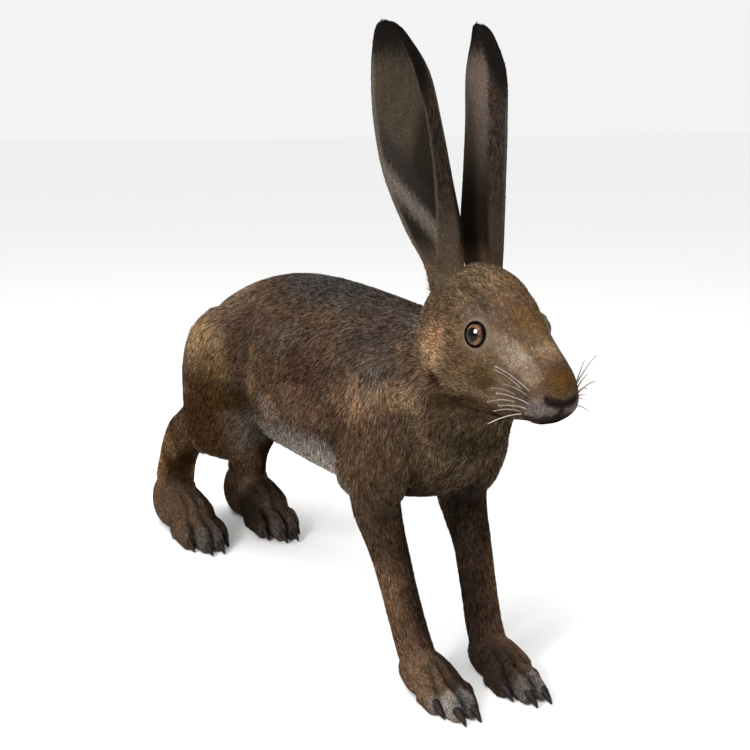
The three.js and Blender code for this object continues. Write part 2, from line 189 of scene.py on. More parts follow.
forepaw = {
    "middle": 28.3,
    "cuts": [
        cut((-84, 22), (-82, 4), 10),
        cut((-67, 31), (-67, -sole), 14.5, square=2.3),
        cut((-48, 28), (-48, -sole), 16, square=2.4),
        cut((-30, 20), (-30, -sole), 15.5, square=2.4),
    ],
    "toes": [  # place across, tip and root along, half width, height
        (-14.5, -25, -52, 5.1, 16.5),
        (-6, -9, -50, 5.5, 18.5),
        (5.6, -9, -50, 5.5, 18.5),
        (12, -25, -52, 5.1, 16),
    ],
    "claw": {"reach": 9, "root": 4, "half": 4.0, "height": 6.4},
    "caps": (10, 10),
    "depth": 1.0,
    "lie": 1,
    "fur": pelt(length=3.6, width=0.5, lift=0.16, density=1.1),
}
hindFoot = {
    "middle": 37,
    "cuts": [
        cut((-536, 34), (-536, 8), 10),
        cut((-518, 50), (-518, -sole), 15.5, square=2.2),
        cut((-490, 51), (-490, -sole), 17.5, square=2.3),
        cut((-462, 45), (-460, -sole), 18.5, square=2.5),
        cut((-436, 37), (-436, -sole), 18.5, square=2.6),
    ],
    "toes": [
        (-17, -422, -466, 6.0, 24),
        (-6, -406, -462, 6.4, 26),
        (5.4, -406, -462, 6.4, 26),
        (15.6, -424, -468, 6.4, 24),
    ],
    "claw": {"reach": 10, "root": 4, "half": 4.3, "height": 7.4},
    "caps": (12, 12),
    "depth": 1.0,
    "lie": 1,
    "fur": pelt(length=3.8, width=0.52, lift=0.16, density=1.05),
}
ears = {  # level lines: z, then [x, y] of the front edge, the fold, the middle of the back and the rear edge
    "lines": [
        (266, (-56, 26), (-46, 11), (-62, 8), (-66, 21)),
        (288, (-54, 26), (-48, 8.5), (-70, 6), (-81, 18)),
        (310, (-53, 26), (-50.5, 7.5), (-78, 8), (-98, 22)),
        (345, (-54, 27), (-58, 11), (-87, 15.5), (-111, 31)),
        (380, (-58, 30), (-65, 15), (-94, 21), (-116, 36)),
        (412, (-66, 34), (-73, 19.5), (-99, 24), (-117, 37.5)),
        (434, (-82, 36), (-86, 27), (-101, 29), (-113, 38)),
        (441.5, (-91, 36.3), (-93.5, 30.5), (-102.5, 31), (-110, 37.5)),
        (444, (-97, 36), (-98.5, 33), (-103.5, 33), (-107.5, 36.5)),
    ],
    "wall": 2.4,
    "edge": 1.5,
    "depth": 0.45,
    "rows": 84,
    "across": 44,
    "fur": pelt(length=3.2, width=0.46, lift=0.08, density=1.0),
    "cupFur": pelt(length=3.0, width=0.42, lift=0.08, density=0.8),
}


def smooth(values, t):
    # a Catmull-Rom curve through the rows of values, at t from 0 to 1
    values = np.asarray(values, float)
    at = np.clip(t, 0, 1) * (len(values) - 1)
    i = np.minimum(at.astype(int), len(values) - 2)
    f = (at - i)[:, None]
    a, b, c, d = (values[np.clip(i + k, 0, len(values) - 1)] for k in (-1, 0, 1, 2))
    return b + 0.5 * f * (c - a + f * (2 * a - 5 * b + 4 * c - d + f * (3 * (b - c) + d - a)))


def unit(vectors):
    # vectors divided by their lengths
    return vectors / np.maximum(np.linalg.norm(vectors, axis=-1, keepdims=True), 1e-9)


def aim(yaw, pitch):
    # the unit vector at degrees round from +X and up
    yaw, pitch = np.radians([yaw, pitch])
    return np.array([np.cos(yaw) * np.cos(pitch), np.sin(yaw) * np.cos(pitch), np.sin(pitch)])


def smoothStep(low, high, values):
    # 0 up to low, 1 from high on, and t * t * (3 - 2 t) between
    t = np.clip((values - low) / (high - low), 0, 1)
    return t * t * (3 - 2 * t)


def loft(form, side=1, rows=64, around=64):
    # Rings of a super-ellipse along curves through the sections. Height goes with |sin| ** (2 / square) and
    # width with |cos| ** (2 / square), less the coat's depth, and quarter circles round off both ends.
    cuts = np.array(form["cuts"], float)
    depth = form["depth"]
    centres = (cuts[:, 0:2] + cuts[:, 2:4]) / 2
    reach = np.concatenate([[0], np.cumsum(np.linalg.norm(np.diff(centres, axis=0), axis=1))])
    v = np.linspace(0, 1, rows + 1)
    distance = reach[-1] * (v - 0.75 * np.sin(2 * np.pi * v) / (2 * np.pi))  # closer rings at the ends
    sections = smooth(cuts, np.interp(distance, reach, np.linspace(0, 1, len(reach))))
    upperX, upperZ, lowerX, lowerZ, half, y, widest, square = sections.T
    startCap, endCap = form["caps"]
    atStart = np.sqrt(1 - (1 - np.clip(distance, 0, startCap) / startCap) ** 2)
    atEnd = np.sqrt(1 - (1 - np.clip(reach[-1] - distance, 0, endCap) / endCap) ** 2)
    angle = 2 * np.pi * np.arange(around) / around
    power = (2 / square)[:, None]
    rise = np.sign(np.sin(angle)) * np.abs(np.sin(angle)) ** power
    out = np.sign(np.cos(angle)) * np.abs(np.cos(angle)) ** power
    line = np.stack([upperX - lowerX, 0 * upperX, upperZ - lowerZ], 1)
    high = np.linalg.norm(line, axis=1)
    scale = (atStart * atEnd)[:, None]
    share = np.where(rise > 0, (1 - widest)[:, None], widest[:, None])
    up = rise * (high[:, None] * share - depth) * scale / high[:, None]
    wide = out * (half[:, None] - depth) * scale
    heart = np.stack([lowerX, y + form.get("middle", 0), lowerZ], 1) + line * widest[:, None]
    points = heart[:, None] + up[..., None] * line[:, None] + wide[..., None] * np.array([0, 1, 0])
    ends = [unit(centres[0] - centres[1]), unit(centres[-1] - centres[-2])]
    for end, at in zip(ends, (atStart, atEnd)):
        points -= (depth * (1 - at))[:, None, None] * np.array([end[0], 0, end[1]])
    outwards = unit(points - heart[:, None])
    folded = fold(points)
    for at, by, over in form.get("bumps", ()):
        swell = by * np.exp(-np.sum((folded - at) ** 2, axis=2) / over**2)
        points += swell[..., None] * outwards
    return points * (1, side, 1)


def ringFaces(rows, around):
    # quads between following rings, as corner numbers
    row, column = np.meshgrid(np.arange(rows - 1), np.arange(around), indexing="ij")
    after = (column + 1) % around
    here, above = row * around, (row + 1) * around
    return np.stack([here + column, here + after, above + after, above + column], -1).reshape(-1, 4)


def closedTube(rings):
    # rings closed by a point at each end; faces are turned so that the volume is positive
    rows, around = rings.shape[:2]
    points = np.concatenate([rings.reshape(-1, 3), rings[:1].mean(1), rings[-1:].mean(1)])
    quads = ringFaces(rows, around)
    ring = np.arange(around)
    after = (ring + 1) % around
    lastRing = (rows - 1) * around
    first = np.stack([np.full(around, rows * around), after, ring], 1)
    last = np.stack([np.full(around, rows * around + 1), lastRing + ring, lastRing + after], 1)
    triangles = np.concatenate([first, last])
    a, b, c, d = (points[quads[:, k]] for k in range(4))
    if np.sum(a * np.cross(b, c)) + np.sum(a * np.cross(c, d)) < 0:
        quads, triangles = quads[:, ::-1], triangles[:, ::-1]
    return points, quads, triangles


def joinTubes(tubes):
    # several closed tubes as one set of points and faces
    points, quads, triangles, start = [], [], [], 0
    for tubePoints, tubeQuads, tubeTriangles in tubes:
        points.append(tubePoints)
        quads.append(tubeQuads + start)
        triangles.append(tubeTriangles + start)
        start += len(tubePoints)
    return np.concatenate(points), np.concatenate(quads), np.concatenate(triangles)


def writeAll(items, name, values, kind=np.float32):
    # sets one value of every item in a mesh's list
    items.foreach_set(name, np.asarray(values, kind).ravel())


def makeMesh(name, points, *faceSets):
    # a mesh from points and sets of faces, each set an array of corner numbers
    mesh = bpy.data.meshes.new(name)
    corners = np.concatenate([faces.ravel() for faces in faceSets])
    sizes = np.concatenate([np.full(len(faces), faces.shape[1]) for faces in faceSets])
    mesh.vertices.add(len(points))
    writeAll(mesh.vertices, "co", points)
    mesh.loops.add(len(corners))
    writeAll(mesh.loops, "vertex_index", corners, np.int32)
    mesh.polygons.add(len(sizes))
    writeAll(mesh.polygons, "loop_start", np.concatenate([[0], np.cumsum(sizes)[:-1]]), np.int32)
    mesh.update(calc_edges=True)
    writeAll(mesh.polygons, "use_smooth", np.ones(len(sizes)), bool)
    return mesh


def addPiece(name, mesh):
    piece = bpy.data.objects.new(name, mesh)
    bpy.context.collection.objects.link(piece)
    return piece


def addTubes(name, tubes):
    points, quads, triangles = joinTubes(tubes)
    return addPiece(name, makeMesh(name, toFrame(points), quads, triangles))


def readAll(items, name, size, kind=np.float32):
    # one value of every item in a mesh's list, as rows of an array
    values = np.empty(len(items) * size, kind)
    items.foreach_get(name, values)
    return values.reshape(-1, size)


def readPoints(mesh):
    return readAll(mesh.vertices, "co", 3).astype(float)


def readNormals(mesh):
    return readAll(mesh.vertex_normals, "vector", 3).astype(float)


def readEdges(mesh):
    return readAll(mesh.edges, "vertices", 2, np.int32)


def readCorners(mesh):
    return readAll(mesh.loops, "vertex_index", 1, np.int32)[:, 0]


def writePoints(mesh, points):
    writeAll(mesh.vertices, "co", points)
    mesh.update()


def neighbourMean(values, edges):
    # the mean of each vertex's neighbours
    count = np.maximum(np.bincount(edges.ravel(), minlength=len(values)), 1)
    one, other = edges.T
    total = np.stack([
        np.bincount(one, column[other], len(values)) + np.bincount(other, column[one], len(values))
        for column in values.T
    ], 1)
    return total / count[:, None]


def blur(values, edges, rounds, share=1.0):
    # again and again, a share of each value gives way to its neighbours' mean
    for _ in range(rounds):
        values = (1 - share) * values + share * neighbourMean(values, edges)
    return values


def relax(points, edges, rounds, weight=1.0):
    # smooths by moving towards the neighbours' mean, and then nearly as far back, which keeps the volume
    for _ in range(rounds):
        for step in (0.5, -0.51):
            points = points + step * weight * (neighbourMean(points, edges) - points)
    return points


def modified(piece, kind, **settings):
    # the piece's mesh after one modifier
    modifier = piece.modifiers.new("shape", kind)
    for name, value in settings.items():
        setattr(modifier, name, value)
    shaped = bpy.data.meshes.new_from_object(piece.evaluated_get(bpy.context.evaluated_depsgraph_get()))
    piece.modifiers.clear()
    old = piece.data
    piece.data = shaped
    bpy.data.meshes.remove(old)
    return shaped


def toeForm(foot, toe):
    # a toe leaves the foot at its root and slopes down to a blunt tip
    across, tip, root, half, height = toe
    cuts = []
    places = [(0, 1.25, 1, 0.8), (0.5, 1, 1.05, 0.9), (0.8, 0.86, 1, 0.96), (1, 0.6, 0.8, 1)]
    for along, high, wide, spread in places:
        x = root + (tip - root) * along
        cuts.append(cut((x, height * high), (x, -sole), half * wide, y=foot["middle"] + across * spread))
    return {"cuts": cuts, "caps": (6, 7), "depth": 0.6, "lie": 1, "fur": foot["fur"]}


clawShape = {"bend": 2.2, "taper": 0.62, "tip": 0.35, "over": 0.6, "floor": 0.4, "slim": 0.86}


def clawForm(foot, toe):
    # a bent spike from inside the toe to just over the floor: its height falls by share ** bend, and its
    # thickness goes with (1 - share) ** taper
    across, tip = toe[:2]
    claw = foot["claw"]
    cuts = []
    for share in np.linspace(0, 1, 9):
        x = tip - claw["root"] + (claw["reach"] + claw["root"]) * share
        z = claw["height"] * (1 - share ** clawShape["bend"]) + clawShape["over"]
        deep = claw["half"] * (1 - share) ** clawShape["taper"] + clawShape["tip"]
        under = (x - deep * share, max(z - deep, clawShape["floor"]))
        cuts.append(cut((x, z + deep), under, clawShape["slim"] * deep, y=foot["middle"] + across))
    return {"cuts": cuts, "caps": (2, 0.5), "depth": 0.0}


def earGrids(side):
    # outer and inner faces of the ear's cup: at each height a centripetal curve through its four marks
    t = np.linspace(0, 1, ears["rows"] + 1)
    t = 0.35 * np.sin(np.pi / 2 * t) + 0.65 * t  # closer rows at the tip
    z = smooth([[line[0]] for line in ears["lines"]], t)[:, 0]
    marks = [smooth([line[k] for line in ears["lines"]], t) for k in (1, 2, 3, 4)]
    marks = np.stack([np.concatenate([mark * (1, side), z[:, None]], 1) for mark in marks], 1)
    ghosts = np.concatenate([2 * marks[:, :1] - marks[:, 1:2], marks, 2 * marks[:, -1:] - marks[:, -2:-1]], 1)
    columns = []
    for share in np.linspace(0, 3, ears["across"] + 1):
        i = min(int(share), 2)
        f = share - i
        p0, p1, p2, p3 = (ghosts[:, i + k] for k in range(4))
        gaps = [np.linalg.norm(b - a, axis=1, keepdims=True) for a, b in ((p0, p1), (p1, p2), (p2, p3))]
        d0, d1, d2 = (np.maximum(gap, 1e-4) ** 0.5 for gap in gaps)
        t1 = ((p1 - p0) / d0 - (p2 - p0) / (d0 + d1) + (p2 - p1) / d1) * d1
        t2 = ((p2 - p1) / d1 - (p3 - p1) / (d1 + d2) + (p3 - p2) / d2) * d1
        columns.append(p1 + t1 * f + (3 * (p2 - p1) - 2 * t1 - t2) * f**2 + (2 * (p1 - p2) + t1 + t2) * f**3)
    outer = np.stack(columns, 1)
    along = np.gradient(outer, axis=1)
    inwards = unit(np.cross(along, (0, 0, side)))
    column = np.linspace(-1, 1, ears["across"] + 1)
    wall = (ears["wall"] - (ears["wall"] - ears["edge"]) * column**4)[None, :, None]
    return outer + ears["depth"] * inwards, outer + (wall - ears["depth"]) * inwards, unit(along)


def earRings(side):
    # the two faces of the cup and a round rim as one ring at each height
    outer, inner, along = earGrids(side)
    middle = (outer + inner) / 2
    rim = 0.5 * np.linalg.norm(outer - inner, axis=2)[..., None] * along
    rear, front = (middle + rim)[:, -1:], (middle - rim)[:, :1]
    # corners of the rim: 0.55 of the way out, and a fifth of the way in to the middle of the wall
    rearSoft = [(grid + 0.55 * rim)[:, -1:] * 0.8 + middle[:, -1:] * 0.2 for grid in (outer, inner)]
    frontSoft = [(grid - 0.55 * rim)[:, :1] * 0.8 + middle[:, :1] * 0.2 for grid in (inner, outer)]
    ring = [outer, rearSoft[0], rear, rearSoft[1], inner[:, ::-1], frontSoft[0], front, frontSoft[1]]
    rings = np.concatenate(ring, 1)
    cup = np.zeros(rings.shape[1])
    cup[ears["across"] + 4 : 2 * ears["across"] + 5] = 1
    share = np.linspace(0, 1, ears["across"] + 1)
    across = np.concatenate([share, [1, 1, 1], share[::-1], [0, 0, 0]])  # 0 at the front edge, 1 at the rear
    return rings, np.stack([cup, across, np.ones_like(cup)], 1)


print("lofting the body")
limbs = [upperArm, forearm, thigh, shank, forepaw, hindFoot]
lofted = [(trunk, loft(trunk)), (head, loft(head)), (tail, loft(tail, rows=32, around=32))]
for side in (-1, 1):
    lofted += [(form, loft(form, side, rows=40, around=40)) for form in limbs]
    for foot in (forepaw, hindFoot):
        forms = [toeForm(foot, toe) for toe in foot["toes"]]
        lofted += [(form, loft(form, side, rows=20, around=20)) for form in forms]

skinSettings = {
    "voxel": 0.0017,  # metres
    "smoothing": 14,  # rounds over the body
    "joints": 45,  # rounds at wrists and ankles
    "fill": 50,  # rounds of blur for the copy that the creases there are filled up to
    "sharpen": 1.0,  # how much the toes stand out again
    "groove": 3.6,  # depth between toes
    "grooveWide": 1.7,
    "keep": 0.36,  # share of the faces that stay
}


def toeGrooves(points):
    # how far the skin sinks between neighbouring toes: a bell across each line between two of them
    x, y, z = points[:, 0], np.abs(points[:, 1]), points[:, 2]
    sunk = np.zeros(len(points))
    for foot in (forepaw, hindFoot):
        for first, second in zip(foot["toes"][:-1], foot["toes"][1:]):
            tip, root = max(first[1], second[1]), (first[2] + second[2]) / 2
            share = np.clip((x - root) / (tip - root), 0, 1)
            line = foot["middle"] + (first[0] + second[0]) / 2 * (0.8 + 0.2 * share)
            bell = np.exp(-(((y - line) / skinSettings["grooveWide"]) ** 2))
            sunk += bell * smoothStep(root - 10, root + 12, x) * (x < tip + 4) * smoothStep(3, 9, z)
    return np.minimum(skinSettings["groove"] * sunk, 0.6 * np.maximum(z, 0))


def fillCreases(mesh, points, edges):
    # where leg parts meet, the skin moves out to a blurred copy of itself, and never in
    for _ in range(2):
        writePoints(mesh, toFrame(points))
        normals = readNormals(mesh)
        out = np.sum((blur(points, edges, skinSettings["fill"]) - points) * normals, axis=1)
        atJoints = smoothStep(20, 32, points[:, 2]) * (1 - smoothStep(100, 125, points[:, 2]))
        points = points + (atJoints * np.maximum(out, 0))[:, None] * normals
    return points


def buildSkin():
    # all lofted parts become one closed surface by voxels, and the creases where they meet are smoothed
    points, quads, triangles = joinTubes([closedTube(rings[1:-1]) for _, rings in lofted])
    points[:, 2] = np.where(points[:, 2] < 0, points[:, 2] * 0.2, points[:, 2])
    skin = addPiece("skin", makeMesh("skin", toFrame(points), quads, triangles))
    mesh = modified(skin, "REMESH", mode="VOXEL", voxel_size=skinSettings["voxel"], use_smooth_shade=True)
    points, edges = fromFrame(readPoints(mesh)), readEdges(mesh)
    onBody = smoothStep(40, 75, points[:, 2])
    points = relax(points, edges, 4)
    points = relax(points, edges, skinSettings["smoothing"], onBody[:, None])
    atJoints = smoothStep(24, 36, points[:, 2]) * (1 - smoothStep(64, 92, points[:, 2]))
    points = relax(points, edges, skinSettings["joints"], atJoints[:, None])
    points = fillCreases(mesh, points, edges)
    x, z = points[:, 0], points[:, 2]
    onToes = smoothStep(-62, -48, x) + smoothStep(-482, -466, x) * (x < -300)
    onToes = onToes * (1 - smoothStep(18, 30, z))
    points += skinSettings["sharpen"] * onToes[:, None] * (points - blur(points, edges, 8))
    points[:, 2] -= toeGrooves(points)
    points[:, 2] = np.maximum(points[:, 2], 0)
    writePoints(mesh, toFrame(points))
    plain = onBody * (1 - smoothStep(-95, -80, points[:, 0]) * (points[:, 2] > 180))
    group = skin.vertex_groups.new(name="plain")  # fewer faces here
    for level in (0.5, 1.0):
        group.add(np.flatnonzero(plain >= level * 0.999).tolist(), level, "REPLACE")
    mesh = modified(skin, "DECIMATE", ratio=skinSettings["keep"], vertex_group="plain")
    skin.vertex_groups.clear()
    print("skin faces", len(mesh.polygons))
    return skin


def refine(mesh, where):
    # halves the edges whose both ends are where the mask says
    chosen = np.flatnonzero(where[readEdges(mesh)].all(1))
    work = bmesh.new()
    work.from_mesh(mesh)
    work.edges.ensure_lookup_table()
    bmesh.ops.subdivide_edges(work, edges=[work.edges[i] for i in chosen], cuts=1, use_grid_fill=True)
    work.to_mesh(mesh)
    work.free()
    mesh.update()


eyeOut = aim(69, 6)  # the way the lids face
eyeSpot = np.array(eyeBall["at"]) + 6 * eyeOut
face = {  # lines on the left half, the depth and half width of their grooves, swellings, and the lids
    "nostril": [
        (45.2, 10.8, 221.4), (45.8, 9.4, 219.7), (46.8, 6.4, 217.9), (47.4, 2.4, 217), (47.6, 0, 216.8),
    ],
    "cleft": [(47.6, 0, 216.8), (46.6, 0, 214.5), (44.6, 0, 211), (42, 0, 208.2)],
    "mouth": [
        (43, 0, 208.6), (41.5, 5, 208.9), (38, 11, 209), (32, 14.2, 207.6), (20, 15, 205.6), (6, 15, 205.4),
    ],
    "grooves": {"nostril": (1.5, 1.0), "cleft": (1.3, 0.75), "mouth": (1.7, 0.8)},
    "bumps": [((38, 12, 213.5), 1.3, 6.5), ((47, 0, 228), 0.7, 7), ((30, 9, 203), 0.8, 7)],
    "muzzle": 1.1,  # how far the skin moves out there
    "fewerHairs": {"nostril": 1.8, "cleft": 1.0, "mouth": 1.1},  # how far round the lines
    "opening": 6.9,  # half the distance between the lids
    "crest": 7.2,  # the lids' highest ring, from the middle of the eye
    "lid": 0.75,  # how far the lids stand over the eyeball
    "socket": 1.8,  # how far the skin lies under the eyeball's surface
    "corner": (0.9, -0.3, -0.35),  # the way to the front corner, where the lids reach further out
    "pointed": 1.1,
    "oval": (1.08, 0.95),  # across and up
    "slope": 0.3,
}


def distanceTo(points, line):
    # distance from points to a line through marks, and how far along it the nearest of 60 places is
    shares = np.linspace(0, 1, 60)
    best = np.full(len(points), 1e9)
    where = np.zeros(len(points))
    for share, mark in zip(shares, smooth(line, shares)):
        distance = np.linalg.norm(points - mark, axis=1)
        where = np.where(distance < best, share, where)
        best = np.minimum(best, distance)
    return best, where


def shapeFace(mesh):
    # moves of the skin for lids round the eyeball, nostrils, the cleft lip, the mouth's line and lips' pads
    points = fromFrame(readPoints(mesh))
    side = np.where(points[:, 1:2] < 0, -1.0, 1.0) * (0, 1, 0) + (1, 0, 1)
    p, n = points * side, readNormals(mesh) * side
    onFace = (p[:, 0] > -40) & (p[:, 2] > 190)
    muzzle = smoothStep(14, 40, p[:, 0]) * onFace
    p = p + n * (face["muzzle"] * muzzle)[:, None]
    for at, by, over in face["bumps"]:
        p = p + n * (by * np.exp(-np.sum((p - at) ** 2, axis=1) / over**2) * onFace)[:, None]
    for name, (depth, wide) in face["grooves"].items():
        distance, along = distanceTo(p, face[name])
        if name == "nostril":  # deeper and wider at its upper end
            hole = np.exp(-((along - 0.12) / 0.16) ** 2)
            depth, wide = depth + 1.0 * hole, wide + 0.4 * hole
        if name == "mouth":
            depth = depth * (1 - 0.6 * along)
        p = p - n * (depth * np.exp(-((distance / wide) ** 2)) * onFace)[:, None]
    v = p - eyeBall["at"]
    a = v @ eyeOut
    across = v - a[:, None] * eyeOut
    r = np.linalg.norm(across, axis=1)
    towardsCorner = np.clip((across @ unit(np.array(face["corner"]))) / np.maximum(r, 1e-6), 0, 1) ** 6
    r = r - face["pointed"] * towardsCorner * smoothStep(3, 6, r)
    ball = np.sqrt(np.maximum(eyeBall["radius"] ** 2 - r**2, 0.1))
    lid = ball + face["lid"]
    inside = ball - face["socket"]
    level = across - np.outer(across[:, 2], (0, 0, 1))
    wide, high = face["oval"]
    stretched = wide**2 * np.sum(level**2, axis=1) + high**2 * across[:, 2] ** 2
    oval = r * np.sqrt(stretched / np.maximum(np.sum(across**2, axis=1), 1e-6))
    wanted = inside + (lid - inside) * smoothStep(face["opening"] - 0.25, face["opening"] + 0.35, oval)
    crest = np.sqrt(eyeBall["radius"] ** 2 - face["crest"] ** 2) + face["lid"]
    falling = crest - face["slope"] * np.maximum(r - face["crest"], 0) ** 1.3
    wanted = np.where(r > face["crest"], falling, wanted)
    near = (1 - smoothStep(8.0, 11.5, r)) * (onFace & (r < 12) & (a > 0))
    p = p + ((wanted - a) * near)[:, None] * eyeOut
    writePoints(mesh, toFrame(p * side))


skin = buildSkin()
for reach in (1, 2):
    here = fromFrame(readPoints(skin.data))
    toEye = np.linalg.norm(fold(here) - eyeSpot, axis=1)
    onMuzzle = (here[:, 0] > 16 + 8 * reach) & (here[:, 2] > 190)
    onMouth = (here[:, 0] > 0) & (here[:, 2] > 198) & (here[:, 2] < 214)
    refine(skin.data, (toEye < 19 - 4 * reach) | onMuzzle | onMouth)
facePoints = fromFrame(readPoints(skin.data))
onFront = smoothStep(-30, -15, facePoints[:, 0]) * (facePoints[:, 2] > 190)
writePoints(skin.data, toFrame(relax(facePoints, readEdges(skin.data), 10, onFront[:, None])))
shapeFace(skin.data)
print("face shaped", len(skin.data.polygons))

earParts = []
for side, name in ((-1, "earRight"), (1, "earLeft")):
    rings, cup = earRings(side)
    earParts.append((rings, cup))
    ear = addTubes(name, [closedTube(rings)])
    modified(skin, "BOOLEAN", operation="UNION", solver="MANIFOLD", object=ear)
    bpy.data.objects.remove(ear)
skin.data.calc_loop_triangles()
print("ears joined, triangles", len(skin.data.loop_triangles))


class Wire:
    # a socket that takes part in sums; add makes any node from its kind, settings and inputs
    def __init__(self, tree, socket=None):
        self.tree = tree
        self.socket = socket

    def add(self, kind, settings=None, inputs=None, output=0):
        node = self.tree.nodes.new(kind)
        for name, value in (settings or {}).items():
            setattr(node, name, value)
        for name, value in (inputs or {}).items():
            if isinstance(value, Wire):
                self.tree.links.new(value.socket, node.inputs[name])
            else:
                node.inputs[name].default_value = value
        return Wire(self.tree, node.outputs[output] if len(node.outputs) else None)

    def outputs(self):  # all outputs of this socket's node
        return [Wire(self.tree, socket) for socket in self.socket.node.outputs]

    def sum(self, operation, first, second=0.0):
        return self.add("ShaderNodeMath", {"operation": operation}, {0: first, 1: second})

    def __add__(self, other):
        return self.sum("ADD", self, other)

    def __radd__(self, other):
        return self.sum("ADD", other, self)

    def __sub__(self, other):
        return self.sum("SUBTRACT", self, other)

    def __rsub__(self, other):
        return self.sum("SUBTRACT", other, self)

    def __mul__(self, other):
        return self.sum("MULTIPLY", self, other)

    def __rmul__(self, other):
        return self.sum("MULTIPLY", other, self)

    def __abs__(self):
        return self.sum("ABSOLUTE", self)

    def vector(self, operation, other=(0, 0, 0), output=0):
        return self.add("ShaderNodeVectorMath", {"operation": operation}, {0: self, 1: other}, output)

    def axes(self):
        return self.add("ShaderNodeSeparateXYZ", inputs={0: self}).outputs()

    def channels(self):
        return self.add("ShaderNodeSeparateColor", inputs={0: self}).outputs()

    def noise(self, scale, detail=2.0, roughness=0.5, dimensions="3D"):
        inputs = {"Vector": self, "Scale": scale, "Detail": detail, "Roughness": roughness}
        return self.add("ShaderNodeTexNoise", {"noise_dimensions": dimensions}, inputs)

    def shade(self, colour):  # a plain colour
        node = self.add("ShaderNodeRGB")
        node.socket.default_value = (*colour, 1)
        return node

    def step(self, low, high, start=0.0, end=1.0):  # a smooth step between two values
        inputs = {"Value": self, "From Min": low, "From Max": high, "To Min": start, "To Max": end}
        return self.add("ShaderNodeMapRange", {"interpolation_type": "SMOOTHSTEP"}, inputs)

    def mixed(self, share, colour, blend="MIX"):  # this colour mixed with another
        colour = colour if isinstance(colour, Wire) else (*colour, 1)
        inputs = {0: share, 6: self, 7: colour}
        return self.add("ShaderNodeMix", {"data_type": "RGBA", "blend_type": blend}, inputs, 2)

    def tinted(self, red, green, blue):  # this colour times three shares
        tint = self.add("ShaderNodeCombineColor", inputs={0: red, 1: green, 2: blue})
        return self.mixed(1.0, tint, "MULTIPLY")


